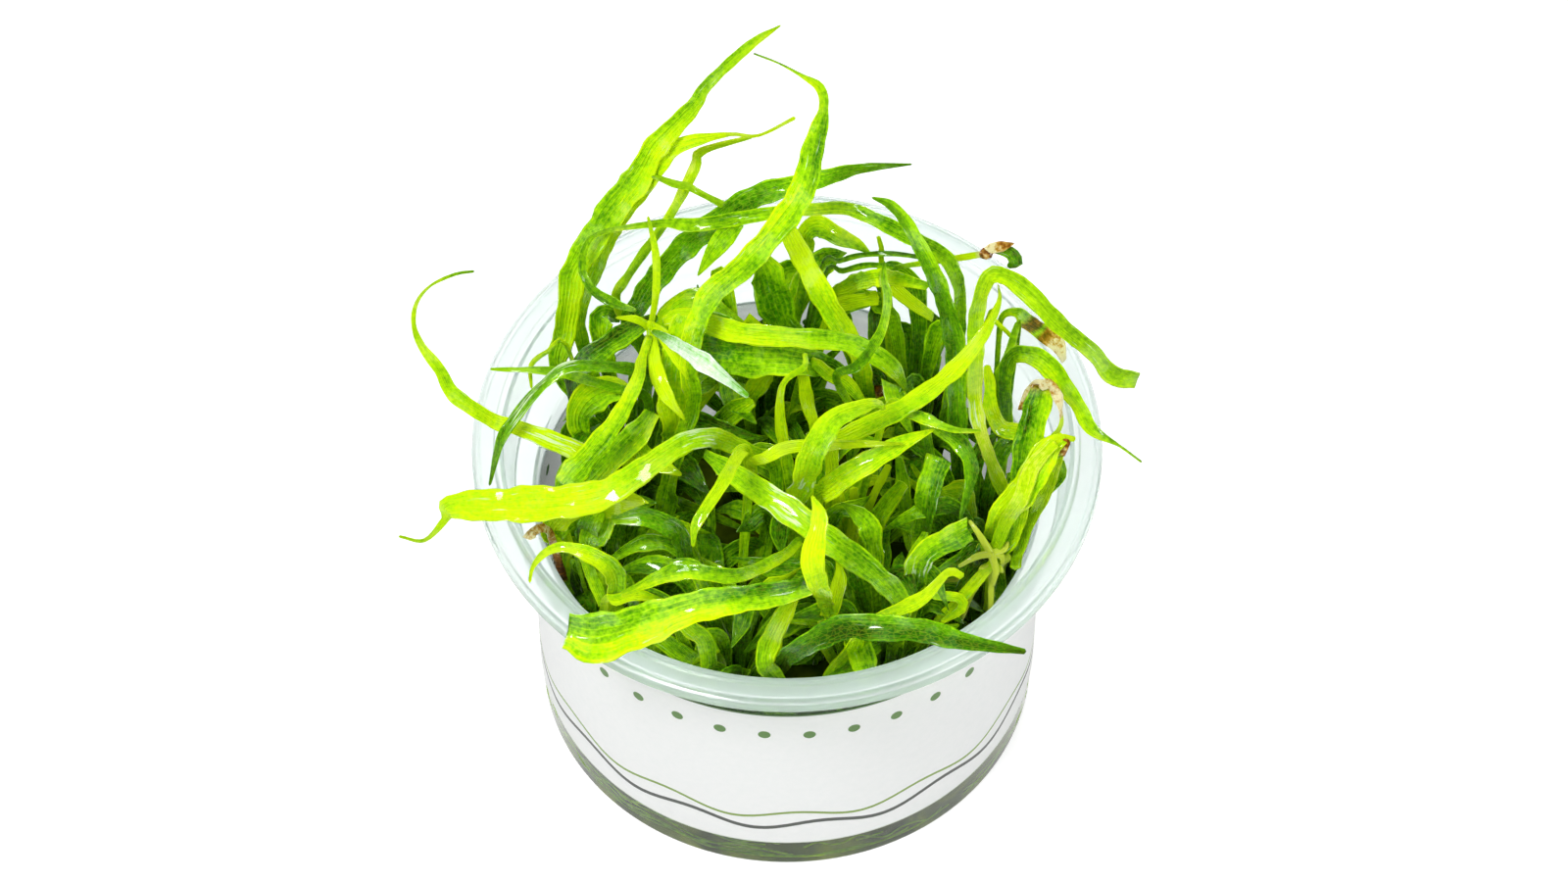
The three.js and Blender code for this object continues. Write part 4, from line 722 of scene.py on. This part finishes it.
def blade(
    name, points, draw, tone, thick=0.42, gutter=0.18, roll=(0.0, 0.0), wave=0.1, twist=14.0,
    cut=False, dry=(), painted_glint=(), lit_halves=None, least=0.0,
):
    """A leaf blade or stem: a grid wrapped round a flat section that follows the midline.

    tone runs from the crown to the tip. gutter is how far the edges turn up and wave how much they
    ripple. roll and twist turn the section, in degrees. dry lists the withered stretches and
    painted_glint the wet ones that get painted pale highlight streaks, as shares of the length, and
    how much. lit_halves sets the painted light and shade on each side of the midrib, least is the
    narrowest width, and a cut leaf ends square. Low down the colour is darkened as painted shade.
    """
    rows = spline(points)
    line, width = rows[:, :3], np.maximum(rows[:, 3], least)
    n = len(line)
    length = np.concatenate([[0], np.cumsum(np.linalg.norm(np.diff(line, axis=0), axis=1))])
    share = length / length[-1]
    swing, sway, bulge = draw.uniform(0, CYCLE), draw.uniform(22, 38), draw.uniform(5, 9)
    width = width * (1 + 0.05 * np.sin(CYCLE * length / bulge + swing) + 0.04 * np.sin(length * 1.7 + sway))
    turn = np.radians(roll[0] + (roll[1] - roll[0]) * share + twist * np.sin(CYCLE * length / sway + swing))
    tangent, normal, side = section_frames(line, turn)
    # closed ends: the first and last ring shrink to a point, and a tip is pushed out a little
    order = np.concatenate([[0], np.arange(n), [n - 1]])
    scale = np.concatenate([[0], np.ones(n), [0]])[:, None]
    push = np.zeros(n + 2)
    push[-1] = 0 if cut else 0.25
    angle = 2 * math.pi * np.arange(AROUND + 1) / AROUND
    half = width[order][:, None] / 2
    depth = np.minimum(thick, np.maximum(0.28, half)) / 2
    phase, ripple = draw.uniform(0, CYCLE), draw.uniform(7, 13)
    u = np.cos(angle)[None, :]
    lift = half * gutter * 1.6 * (np.sqrt(u**2 + 0.02) - 0.5)
    lift = lift + half * wave * np.sin(CYCLE * length[order] / ripple + phase)[:, None] * u * 2
    up = (lift + depth * np.sin(angle)[None, :] * (1 - 0.35 * u**2)) * scale
    centre = line[order] + tangent[order] * push[:, None]
    grid = centre[:, None] + side[order][:, None] * (half * u * scale)[..., None]
    grid = grid + normal[order][:, None] * up[..., None]
    bpy.ops.mesh.primitive_grid_add(x_subdivisions=AROUND, y_subdivisions=n + 1, size=1)
    obj = bpy.context.object
    obj.name = name
    mesh = obj.data
    co = np.empty(len(mesh.vertices) * 3)
    mesh.vertices.foreach_get("co", co)
    co = co.reshape(-1, 3)
    column = np.rint((co[:, 0] + 0.5) * AROUND).astype(int)
    row = np.rint((co[:, 1] + 0.5) * (n + 1)).astype(int)
    mesh.vertices.foreach_set("co", (grid[row, column] * MM).ravel())
    # veins read how far across (0 to 1) and how far along a point is
    loops = np.empty(len(mesh.loops), dtype=np.int32)
    mesh.loops.foreach_get("vertex_index", loops)
    flat = np.stack([u[0][column[loops]] * 0.5 + 0.5, length[order][row[loops]] * 0.3], axis=1)
    mesh.uv_layers.active.data.foreach_set("uv", flat.astype(np.float32).ravel())
    mesh.uv_layers.active.name = "UVMap"
    tone = np.atleast_1d(tone)
    at = share[order][row]
    levels = np.interp(at, np.linspace(0, 1, len(tone)), tone)
    # painted light and shade: one side of the midrib is drawn lighter and the other darker, as a creased
    # blade takes the light on one side
    if lit_halves is None:
        lit_lean = draw.uniform(-0.16, 0.16)
        lit_halves = (-lit_lean, lit_lean)
    side_of = np.clip(u[0][column] * 3, -1, 1)
    levels = levels + lit_halves[0] * np.maximum(-side_of, 0) + lit_halves[1] * np.maximum(side_of, 0)
    levels = levels + 0.1 * np.sin(CYCLE * length[order][row] / sway + swing)
    # painted shade: the colour is darkened low down, where the other leaves shade the blade
    shade = np.clip((line[order][row][:, 2] - SHADE_LOW) / SHADE_DEPTH, 0, 1)
    marks = {"tone": levels * (0.15 + 0.85 * shade)}
    for key, stretches, soft in (("dry", dry, 0.005), ("painted_glint", painted_glint, 0.012)):
        marks[key] = np.zeros(len(row))
        for start, end, *most in stretches:
            inside = np.clip(np.minimum(at - start, end - at) / soft + 0.5, 0, 1)
            marks[key] = np.maximum(marks[key], inside * (most[0] if most else 1))
    for key, amount in marks.items():
        values = amount.astype(np.float32)
        mesh.attributes.new(key, "FLOAT", "POINT").data.foreach_set("value", values)
    return obj


def select_only(*objects):
    bpy.ops.object.select_all(action="DESELECT")
    for obj in objects:
        obj.select_set(True)
    bpy.context.view_layer.objects.active = objects[0]


def close_seams(distance):
    bpy.ops.object.mode_set(mode="EDIT")
    bpy.ops.mesh.select_all(action="SELECT")
    bpy.ops.mesh.remove_doubles(threshold=distance)
    bpy.ops.mesh.normals_make_consistent(inside=False)
    bpy.ops.object.mode_set(mode="OBJECT")


def welded(objects, name, material, nodes):
    """Joins pieces into one named object, closes their seams and puts it in the frame."""
    select_only(*objects)
    if len(objects) > 1:
        bpy.ops.object.join()
    obj = bpy.context.object
    obj.name = name
    close_seams(WELD)
    bpy.ops.object.shade_smooth()
    obj.data.materials.clear()
    obj.data.materials.append(material)
    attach(obj, "root")
    if nodes:
        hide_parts(*nodes)


def spun(name, profile, steps, material, nodes):
    """A round piece: its profile (radius, height in millimetres) spun round the cup's axis."""
    mesh = bpy.data.meshes.new(name)
    closed = profile[0][0] > 0
    count = len(profile)
    edges = [(i, (i + 1) % count) for i in range(count if closed else count - 1)]
    mesh.from_pydata([(r * MM, 0, z * MM) for r, z in profile], edges, [])
    obj = bpy.data.objects.new(name, mesh)
    bpy.context.collection.objects.link(obj)
    select_only(obj)
    bpy.ops.object.mode_set(mode="EDIT")
    bpy.ops.mesh.select_all(action="SELECT")
    bpy.ops.mesh.spin(steps=steps, angle=2 * math.pi, center=(0, 0, 0), axis=(0, 0, 1))
    bpy.ops.object.mode_set(mode="OBJECT")
    close_seams(PROFILE_WELD)
    bpy.ops.object.shade_smooth_by_angle(angle=math.radians(38))
    obj.data.materials.append(material)
    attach(obj, "root")
    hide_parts(*nodes)


def rounded(profile, radius):
    """Rounds the corners of a profile that are not on the axis."""
    out = []
    count = len(profile)
    closed = profile[0][0] > 0
    for i, (r, z) in enumerate(profile):
        if not closed and i in (0, count - 1):
            out.append((r, z))
            continue
        here = Vector((r, z))
        before = Vector(profile[i - 1]) - here
        after = Vector(profile[(i + 1) % count]) - here
        reach = min(radius, before.length * 0.45, after.length * 0.45)
        a, b = here + before.normalized() * reach, here + after.normalized() * reach
        for t in (0, 0.33, 0.67, 1):
            out.append(tuple(a * (1 - t) ** 2 + here * 2 * t * (1 - t) + b * t**2))
    return out


def wall_radius(height):
    """Outside radius of the cup's slightly conical wall."""
    return WALL_R_LOW + (WALL_R_HIGH - WALL_R_LOW) * height / SHOULDER_Z


class CupPlantSettings(bpy.types.PropertyGroup):
    """Sizes and colours that a user would change."""

    leaf_thickness: FloatProperty(
        name="Leaf thickness", description="Thickness of a long leaf's blade", default=0.00042, min=0.0002,
        max=0.0008, precision=5, unit="LENGTH",
    )
    inner_leaves: IntProperty(
        name="Inner leaves", description="Short extra leaves in each crown", default=20, min=0, max=40,
        subtype="UNSIGNED",
    )
    floor_colour: FloatVectorProperty(
        name="Floor", description="Colour of the floor", subtype="COLOR", size=4, default=linear("#a8a8a8"),
    )
    key_power: FloatProperty(
        name="Key light", description="Power of the soft light overhead", default=6.0, min=0, unit="POWER",
    )


class CUPPLANT_OT_cup(bpy.types.Operator):
    """Clear cup with its stepped collar and flange"""

    bl_idname = "cupplant.cup"
    bl_label = "Cup"

    def execute(self, context):
        # Clear moulded polypropylene: see-through, a little milky green at its edges
        material, tree = new_material("cup_clear_polypropylene")
        place = add(tree, "TexCoord").outputs["Object"]
        haze = add(tree, "TexNoise", {"Vector": place}, Scale=60.0, Detail=3.0)
        rough = add(tree, "Math", (haze, 0.1, 0.02), operation="MULTIPLY_ADD")
        bump = add(tree, "Bump", {"Height": haze}, Strength=0.006, Distance=0.0002)
        shader = add(
            tree, "BsdfPrincipled", {"Roughness": rough, "Normal": bump},
            Base_Color="#fbfdfd", IOR=1.44, Transmission_Weight=1.0, Specular_IOR_Level=0.25,
        )
        milk = add(tree, "BsdfTranslucent", Color="#f2fffb")
        # thicker at the flange, where it looks like frosted milk
        height = add(tree, "SeparateXYZ", [place]).outputs["Z"]
        flange = add(tree, "Math", (height, 0.0385), operation="SUBTRACT")
        flange = add(tree, "Math", (flange, 400.0), operation="MULTIPLY", use_clamp=True)
        cloudy = add(tree, "Math", (haze, 0.2, 0.2), operation="MULTIPLY_ADD")
        fac = add(tree, "Math", (flange, cloudy, 0.005), operation="MULTIPLY_ADD")
        both = add(tree, "MixShader", (fac, shader, milk))
        tint = add(tree, "VolumeAbsorption", Color="#a4dcc8", Density=7.5)
        add(tree, "OutputMaterial", {"Surface": both, "Volume": tint})
        # up the outside from the middle of the floor, over the flange and down the inside
        profile = [
            (0, 0), (36.1, 0), (WALL_R_LOW, 0.5), (WALL_R_HIGH, SHOULDER_Z), (39.4, 45.4), (39.8, 46.8),
            (41.1, 54.3), (44.3, 54.3), (44.3, 53.1), (FLANGE_R, 53.1), (44.95, 54.8), (44.5, RIM_Z),
            (44.1, 55.35), (43.7, RIM_Z), (41.9, RIM_Z), (41.65, 55.25), (41.25, 55.25), (41.0, RIM_Z),
            (RIM_R, RIM_Z), (39.1, 47.1), (WALL_R_HIGH - WALL_T, 44.7), (WALL_R_LOW - WALL_T, 1.0),
            (35.5, 0.45), (0, 0.45),
        ]
        spun("cup_shell", rounded(profile, 0.5), 288, material, ["cup"])
        return {"FINISHED"}


class CUPPLANT_OT_label(bpy.types.Operator):
    """White coated paper sleeve round the wall, with a plain border of waves and dots"""

    bl_idname = "cupplant.label"
    bl_label = "Sleeve"

    def execute(self, context):
        # Coated label paper: bright white, faintly mottled, with a soft gloss
        material, tree = new_material("label_coated_paper")
        place = add(tree, "TexCoord").outputs["Object"]
        split = add(tree, "SeparateXYZ", [place])
        height = split.outputs["Z"]
        grain = add(tree, "TexNoise", {"Vector": place}, Scale=900.0, Detail=3.0)
        colour = add(tree, "ValToRGB", [grain], [(0.3, "#f8faf9"), (0.7, "#fcfdfc")])
        # what goes on the paper, first at the cut edges: a dark green line under the top one, painted shade
        # where the flange overhangs, and a pale grey-green band along the bottom one
        painted_rim_shade = add(tree, "Math", (height, (LABEL_HIGH - 0.35) * MM), operation="GREATER_THAN")
        low = add(tree, "Math", (height, (LABEL_LOW + 0.25) * MM), operation="LESS_THAN")
        inks_and_shade = [(painted_rim_shade, "#5b7d4c"), (low, "#dfe6da")]
        # a plain printed border: two wavy lines low down and a row of dots under the top edge
        front = add(tree, "Math", (split.outputs["Y"], -1.0), operation="MULTIPLY")
        turn = add(tree, "Math", (split.outputs["X"], front), operation="ARCTAN2")
        around = add(tree, "Math", (turn, WALL_R_HIGH), operation="MULTIPLY")
        level = add(tree, "Math", (height, 1 / MM), operation="MULTIPLY")
        for middle, shift, half, ink in WAVES:
            swing = add(tree, "Math", (turn, 12.0, shift), operation="MULTIPLY_ADD")
            swing = add(tree, "Math", [swing], operation="SINE")
            away = add(tree, "Math", (level, middle), operation="SUBTRACT")
            away = add(tree, "Math", (swing, -0.9, away), operation="MULTIPLY_ADD")
            away = add(tree, "Math", [away], operation="ABSOLUTE")
            inks_and_shade.append((add(tree, "Math", (away, half), operation="LESS_THAN"), ink))
        pitch = 2 * math.pi * WALL_R_HIGH / DOTS
        beside = add(tree, "Math", (around, pitch), operation="FLOORED_MODULO")
        beside = add(tree, "Math", (beside, pitch / 2), operation="SUBTRACT")
        above = add(tree, "Math", (level, DOTS_Z), operation="SUBTRACT")
        above = add(tree, "Math", (above, above), operation="MULTIPLY")
        off = add(tree, "Math", (beside, beside, above), operation="MULTIPLY_ADD")
        inks_and_shade.append((add(tree, "Math", (off, 0.8), operation="LESS_THAN"), "#5d8a3c"))
        # the seam, at the back
        behind = add(tree, "Math", [around], operation="ABSOLUTE")
        behind = add(tree, "Math", (math.pi * WALL_R_HIGH, behind), operation="SUBTRACT")
        inks_and_shade.append((add(tree, "Math", (behind, 0.18), operation="LESS_THAN"), "#c9cec8"))
        for where, ink in inks_and_shade:
            colour = add(tree, "Mix", {0: where, 6: colour, 7: ink}, data_type="RGBA")
        bump = add(tree, "Bump", {"Height": grain}, Strength=0.08, Distance=0.00005)
        shader = add(
            tree, "BsdfPrincipled", {"Base Color": colour, "Normal": bump},
            Roughness=0.38, Coat_Weight=0.3, Coat_Roughness=0.15,
        )
        lit = add(tree, "BsdfTranslucent", {"Color": colour})
        # the back of the paper passes on what the front lets through
        plan = add(tree, "CombineXYZ", (split.outputs["X"], split.outputs["Y"]))
        radius = add(tree, "VectorMath", [plan], operation="LENGTH").outputs["Value"]
        cone = add(tree, "Math", (height, (WALL_R_HIGH - WALL_R_LOW) / SHOULDER_Z), operation="MULTIPLY")
        inside = add(tree, "Math", (radius, cone), operation="SUBTRACT")
        sheet = (WALL_R_LOW + LABEL_GAP + LABEL_T / 2) * MM
        inside = add(tree, "Math", (inside, sheet), operation="LESS_THAN")
        through = add(tree, "Math", (inside, 0.54, 0.38), operation="MULTIPLY_ADD")
        add(tree, "OutputMaterial", [add(tree, "MixShader", (through, shader, lit))])
        low_r, high_r = wall_radius(LABEL_LOW) + LABEL_GAP, wall_radius(LABEL_HIGH) + LABEL_GAP
        profile = [
            (low_r, LABEL_LOW), (low_r + LABEL_T, LABEL_LOW),
            (high_r + LABEL_T, LABEL_HIGH), (high_r, LABEL_HIGH),
        ]
        spun("label_sleeve", profile, 144, material, ["label"])
        return {"FINISHED"}


class CUPPLANT_OT_gel(bpy.types.Operator):
    """Disc of nutrient gel and the roots that wind through it"""

    bl_idname = "cupplant.gel"
    bl_label = "Gel and roots"

    def execute(self, context):
        # Agar gel: cloudy olive jelly, wet on top
        material, tree = new_material("gel_olive_agar")
        place = add(tree, "TexCoord").outputs["Object"]
        cloud = add(tree, "TexNoise", {"Vector": place}, Scale=90.0, Detail=4.0, Distortion=1.2)
        colour = add(tree, "ValToRGB", [cloud], [(0.3, "#1c2c00"), (0.5, "#364a00"), (0.72, "#6c7c12")])
        bump = add(tree, "Bump", {"Height": cloud}, Strength=0.3, Distance=0.0006)
        shader = add(
            tree, "BsdfPrincipled", {"Base Color": colour, "Normal": bump},
            Roughness=0.3, IOR=1.34, Specular_IOR_Level=0.05,
        )
        add(tree, "OutputMaterial", [shader])
        # the gel wets the cup, so its skin lies just inside the plastic with no air between
        profile = [
            (0, 0.15), (35.8, 0.15), (36.02, 0.4), (36.05, 7.95),
            (34.9, 7.6), (28, 7.75), (12, 7.95), (0, 7.9),
        ]
        spun("gel_disc", rounded(profile, 0.4), 96, material, ["gel"])
        # roots wind along the wall, half in the gel's skin, where they show
        draw = random.Random(5)
        roots = []
        for i in range(46):
            start, span = draw.uniform(0, 360), draw.uniform(18, 55) * draw.choice((-1, 1))
            low, rise = draw.uniform(1.8, 6.4), draw.uniform(-2.5, 2.5)
            points = []
            for k in range(7):
                turn = math.radians(start + span * k / 6)
                r = ROOT_R - 0.12 * abs(math.sin(k + i)) - draw.uniform(0, 0.06)
                z = min(7.0, max(1.9, low + rise * k / 6 + 0.7 * math.sin(2.1 * k + i)))
                points.append([r * math.cos(turn), r * math.sin(turn), z, 0.55])
            tone = draw.uniform(-0.2, 0.8)
            roots.append(blade(f"root_{i}", points, draw, tone, thick=0.5, gutter=0, wave=0))
        welded(roots, "roots_in_gel", leaf_materials()["stem_pale"], [])
        return {"FINISHED"}


class CUPPLANT_OT_long_leaves(bpy.types.Operator):
    """The long strap leaves, each one a piece of its own"""

    bl_idname = "cupplant.long_leaves"
    bl_label = "Long leaves"

    def execute(self, context):
        thick = context.scene.cup_plant.leaf_thickness / MM
        materials = leaf_materials()
        for index, (name, points) in enumerate(LEAVES.items()):
            draw = random.Random(100 + index)
            slot = next((key for key, names in SLOTS.items() if name in names), "leaf_mid")
            style = dict(tone=TONES[name], gutter=draw.uniform(0.1, 0.35), thick=thick)
            style.update(STYLE.get(name, {}))
            style.setdefault("roll", (draw.uniform(-10, 10), draw.uniform(-18, 18)))
            leaf = [blade(name + "_blade", points, draw, cut=name in CUT, **style)]
            for path, style in TRIMMINGS.get(name, ()):
                leaf.append(blade("trimming", path, draw, **{"thick": thick, **style}))
            finish = materials[FINISH.get(name, slot)]
            welded(leaf, name + "_blade", finish, [name])
        return {"FINISHED"}


def inner_path(x, y, angle, reach, rise, width):
    """Midline of a short leaf that leaves its crown steeply and leans outwards."""
    turn = math.radians(angle)
    path = []
    for out, up in ((0, 0), (0.12, 0.35), (0.42, 0.75), (1, 1)):
        far = 1 + out * reach
        wide = 0.5 if up == 1 else width
        path.append([x + math.cos(turn) * far, y + math.sin(turn) * far, CROWN_TOP - 1 + up * rise, wide])
    return path


def rooted(path, foot):
    """Leads a leaf that starts in mid air down to its crown."""
    x, y, z, width = path[0]
    fx, fy = foot
    stem = min(1.4, width)
    middle = [x * 0.6 + fx * 0.4, y * 0.6 + fy * 0.4, CROWN_TOP + (z - CROWN_TOP) * 0.55, stem]
    return [[fx + 1, fy, CROWN_TOP - 1, stem], middle, *path]


def kept_inside(path):
    """Pulls in the points of a path that would touch the cup's wall."""
    out = []
    for x, y, z, width in path:
        room = (SHOULDER_ROOM if z < COLLAR_LOW else COLLAR_ROOM) - width / 2
        far = max(math.hypot(x, y), room) if z < COLLAR_HIGH else room
        out.append([x * room / far, y * room / far, z, width])
    return out


def nearest_crown(path):
    return min(CROWNS, key=lambda name: math.dist(CROWNS[name][0], path[0][:2]))


def cells_of(path):
    """Cells that a leaf covers, seen along the direction that the leaves face."""
    rows = spline(path, 0.7)
    rows = rows[rows[:, 2] > SEEN_ABOVE]
    up = rows[:, 1] * FACING[2] - rows[:, 2] * FACING[1]
    cells = set()
    for step in (-0.33, 0, 0.33):
        for x, v in zip(rows[:, 0], up + step * rows[:, 3]):
            cells.add((round(x / CELL_MM), round(v / CELL_MM)))
    return cells


def inner_leaf(draw, x, y, tallest, taken, covered):
    """An arching leaf of the crown at x, y: it keeps clear of its neighbours and fills a gap."""
    best, most = None, -1e9
    for _ in range(TRIES):
        turn = math.radians(draw.uniform(0, 360))
        reach, rise = draw.uniform(5, 17), draw.uniform(24, tallest)
        width = draw.uniform(1.9, 4.0)
        bend, droop = draw.uniform(-0.8, 0.8), draw.uniform(0.78, 1.12)
        path = []
        for out, up, wide in (*ARCH, (1.2, droop, 0.08)):
            a = turn + bend * out
            px, py = x + math.cos(a) * (1 + out * reach), y + math.sin(a) * (1 + out * reach)
            far = math.hypot(px, py)
            if far > INNER_ROOM:
                px, py = px * INNER_ROOM / far, py * INNER_ROOM / far
            path.append([px, py, CROWN_TOP - 1 + up * rise, width * wide])
        line = spline(path, COARSE)[:, :3]
        line = line[line[:, 2] > SPACED_ABOVE]
        gap = np.sqrt(((line[:, None] - taken[None]) ** 2).sum(2)).min()
        score = len(cells_of(path) - covered) + 25 * min(gap, 1.4)
        if score > most:
            best, most = path, score
    return best


def sheaths(draw, centre, count, start, rows, tone, thick):
    """Short sheath leaves in a ring: each row is its reach from the centre, height and width."""
    x, y = centre
    ring = []
    for k in range(count):
        turn = math.radians(360 / count * k + start)
        path = [[x + r * math.cos(turn), y + r * math.sin(turn), z, width] for r, z, width in rows]
        ring.append(blade("sheath", path, draw, tone, thick=thick, gutter=0.1, wave=0))
    return ring


class CUPPLANT_OT_crowns(bpy.types.Operator):
    """Crowns on the gel: pale sheaths, short inner leaves and small leaves seen between the long ones"""

    bl_idname = "cupplant.crowns"
    bl_label = "Crowns"

    def execute(self, context):
        materials = leaf_materials()
        extra = context.scene.cup_plant.inner_leaves
        taken = np.vstack([spline(points, COARSE)[:, :3] for points in LEAVES.values()])
        taken = taken[taken[:, 2] > TAKEN_ABOVE]
        covered = set().union(*(cells_of(points) for points in LEAVES.values()))
        for index, (name, (centre, inner)) in enumerate(CROWNS.items()):
            x, y = centre
            draw = random.Random(300 + index)
            tallest = TALLEST_FRONT if y < FRONT_Y else TALLEST_BACK
            parts = []
            for row in inner:
                tone = (draw.uniform(0.5, 0.8), draw.uniform(0.7, 1.0))
                gutter = draw.uniform(0.1, 0.4)
                parts.append(blade("inner", inner_path(x, y, *row), draw, tone, gutter=gutter))
            for _ in range(extra):
                path = inner_leaf(draw, x, y, tallest, taken, covered)
                taken = np.vstack([taken, spline(path, COARSE)[:, :3]])
                covered |= cells_of(path)
                # random tones kept low: partly the leaves' own tone, partly painted shade deep in the clump
                low = draw.uniform(0.05, 0.55)
                tone = (low, low + draw.uniform(-0.05, 0.4))
                style = dict(gutter=draw.uniform(0.05, 0.35), roll=(0, draw.uniform(-30, 30)))
                parts.append(blade("inner", path, draw, tone, **style))
            for table, style in ((EXTRAS, {}), (DRIED_BITS, dict(thick=1.0, dry=[(0.6, 2)]))):
                for tone, path in table:
                    if nearest_crown(path) == name:
                        parts.append(blade("small", kept_inside(rooted(path, centre)), draw, tone, **style))
            rows = [(2.2, 8.0, 3.2), (2.2, 9.6, 3.4), (3.4, 12.5, 2.6), (3.4, 16.5, 1.2)]
            parts += sheaths(draw, centre, 9, 10 * index, rows, 1.6, 1.3)
            welded(parts, name + "_leaves", materials["leaf_mid"], [name])
        return {"FINISHED"}


class CUPPLANT_OT_young_plantlets(bpy.types.Operator):
    """Two young plantlets, each on the runner that carries it"""

    bl_idname = "cupplant.young_plantlets"
    bl_label = "Young plantlets"

    def execute(self, context):
        materials = leaf_materials()
        draw = random.Random(71)
        x, y, z = HIGH_PLANTLET
        parts = [blade("runner", RUNNER_HIGH, draw, 0.8, thick=1.0, gutter=0, wave=0)]
        parts += [blade("young", path, draw, (0.8, 0.9)) for path in HIGH_LEAVES]
        bud = [[x, y, z + up, width] for up, width in ((-1.2, 1.0), (-0.4, 2.3), (0.4, 2.4), (1.2, 1.2))]
        parts.append(blade("bud", bud, draw, 0.9, thick=2.4, gutter=0, wave=0))
        finish = materials["leaf_mid"]
        welded(parts, "plantlet_on_runner_leaves", finish, ["plantlet_on_runner"])
        x, y, z = ROOTED_PLANTLET
        parts = [blade("runner", RUNNER_RIGHT, draw, 0.9, thick=1.2, gutter=0, wave=0)]
        parts += [blade("root", kept_inside(path), draw, 2.6, thick=0.9, gutter=0, wave=0) for path in ROOTS]
        rows = [(1.0, z - 1.6, 1.8), (1.0, z, 2.4), (2.2, z + 1.2, 1.9), (2.2, z + 1.7, 0.9)]
        parts += sheaths(draw, (x, y), 6, 0, rows, 1.2, 1.1)
        welded(parts, "rooted_plantlet_base", materials["stem_pale"], ["rooted_plantlet"])
        return {"FINISHED"}


class CUPPLANT_OT_stage(bpy.types.Operator):
    """Pale floor, soft studio light and the camera of the photograph"""

    bl_idname = "cupplant.stage"
    bl_label = "Stage"

    def execute(self, context):
        settings = context.scene.cup_plant
        bpy.ops.object.select_all(action="DESELECT")
        bpy.ops.mesh.primitive_plane_add(size=8, location=(0, 0, 0))
        floor = context.object
        floor.name = "floor"
        # White studio paper: matt, and lit through from below like a light table
        material, tree = new_material("floor_white_paper")
        place = add(tree, "TexCoord").outputs["Object"]
        grain = add(tree, "TexNoise", {"Vector": place}, Scale=300.0, Detail=2.0)
        grain = add(tree, "Math", (grain, 0.02), operation="MULTIPLY")
        pale = tuple(settings.floor_colour)
        colour = add(tree, "Mix", {0: grain, 6: pale, 7: "#9c9c9c"}, data_type="RGBA")
        shader = add(
            tree, "BsdfPrincipled", {"Base Color": colour}, Roughness=0.9,
            Emission_Color=(1, 1, 1, 1), Emission_Strength=0.74,
        )
        add(tree, "OutputMaterial", [shader])
        floor.data.materials.append(material)
        world = bpy.data.worlds.new("soft_white_room")
        context.scene.world = world
        world.use_nodes = True
        # a white tent: bright round the sides, dimmer overhead
        tree = world.node_tree
        up = add(tree, "SeparateXYZ", [add(tree, "TexCoord").outputs["Generated"]]).outputs["Z"]
        tent = add(tree, "ValToRGB", [up], [(0.25, "#ffffff"), (0.75, "#c2c2c2")])
        room = tree.nodes["Background"]
        tree.links.new(tent.outputs["Color"], room.inputs["Color"])
        room.inputs["Strength"].default_value = 0.9
        for name, place, size, power in LAMPS:
            bpy.ops.object.light_add(type="AREA", location=place)
            lamp = context.object
            lamp.name = name
            lamp.data.size = size
            lamp.data.energy = settings.key_power * power
            aim = Vector((0, 0, 0.05)) - Vector(place)
            lamp.rotation_euler = aim.to_track_quat("-Z", "Y").to_euler()
        # The photo looks down at 54.2 degrees with a long lens from almost a metre away
        tilt = math.radians(90 - 54.2)
        bpy.ops.object.camera_add(location=(0, -0.5557, 0.8255), rotation=(tilt, 0, 0))
        camera = context.object
        camera.name = "photo_camera"
        camera.data.sensor_width = 36
        camera.data.lens = 153
        camera.data.shift_x = -3 / 1600
        camera.data.shift_y = 1 / 1600
        camera.data.clip_start = 0.05
        camera.data.dof.use_dof = False
        context.scene.camera = camera
        context.scene.view_settings.view_transform = "Standard"
        return {"FINISHED"}


OPERATORS = (
    CUPPLANT_OT_cup,
    CUPPLANT_OT_label,
    CUPPLANT_OT_gel,
    CUPPLANT_OT_long_leaves,
    CUPPLANT_OT_crowns,
    CUPPLANT_OT_young_plantlets,
    CUPPLANT_OT_stage,
)


class CUPPLANT_PT_panel(bpy.types.Panel):
    """Buttons for each group of pieces and the settings they read"""

    bl_idname = "CUPPLANT_PT_panel"
    bl_label = "Cup Plant"
    bl_space_type = "VIEW_3D"
    bl_region_type = "UI"
    bl_category = "Cup Plant"

    def draw(self, context):
        for key in CupPlantSettings.__annotations__:
            self.layout.prop(context.scene.cup_plant, key)
        for operator in OPERATORS:
            self.layout.operator(operator.bl_idname)


def register():
    for item in (CupPlantSettings, *OPERATORS, CUPPLANT_PT_panel):
        bpy.utils.register_class(item)
    bpy.types.Scene.cup_plant = PointerProperty(type=CupPlantSettings)


def unregister():
    del bpy.types.Scene.cup_plant
    for item in (CUPPLANT_PT_panel, *reversed(OPERATORS), CupPlantSettings):
        bpy.utils.unregister_class(item)


def main():
    register()
    for operator in OPERATORS:
        group, action = operator.bl_idname.split(".")
        getattr(getattr(bpy.ops, group), action)()


if __name__ == "__main__":
    main()
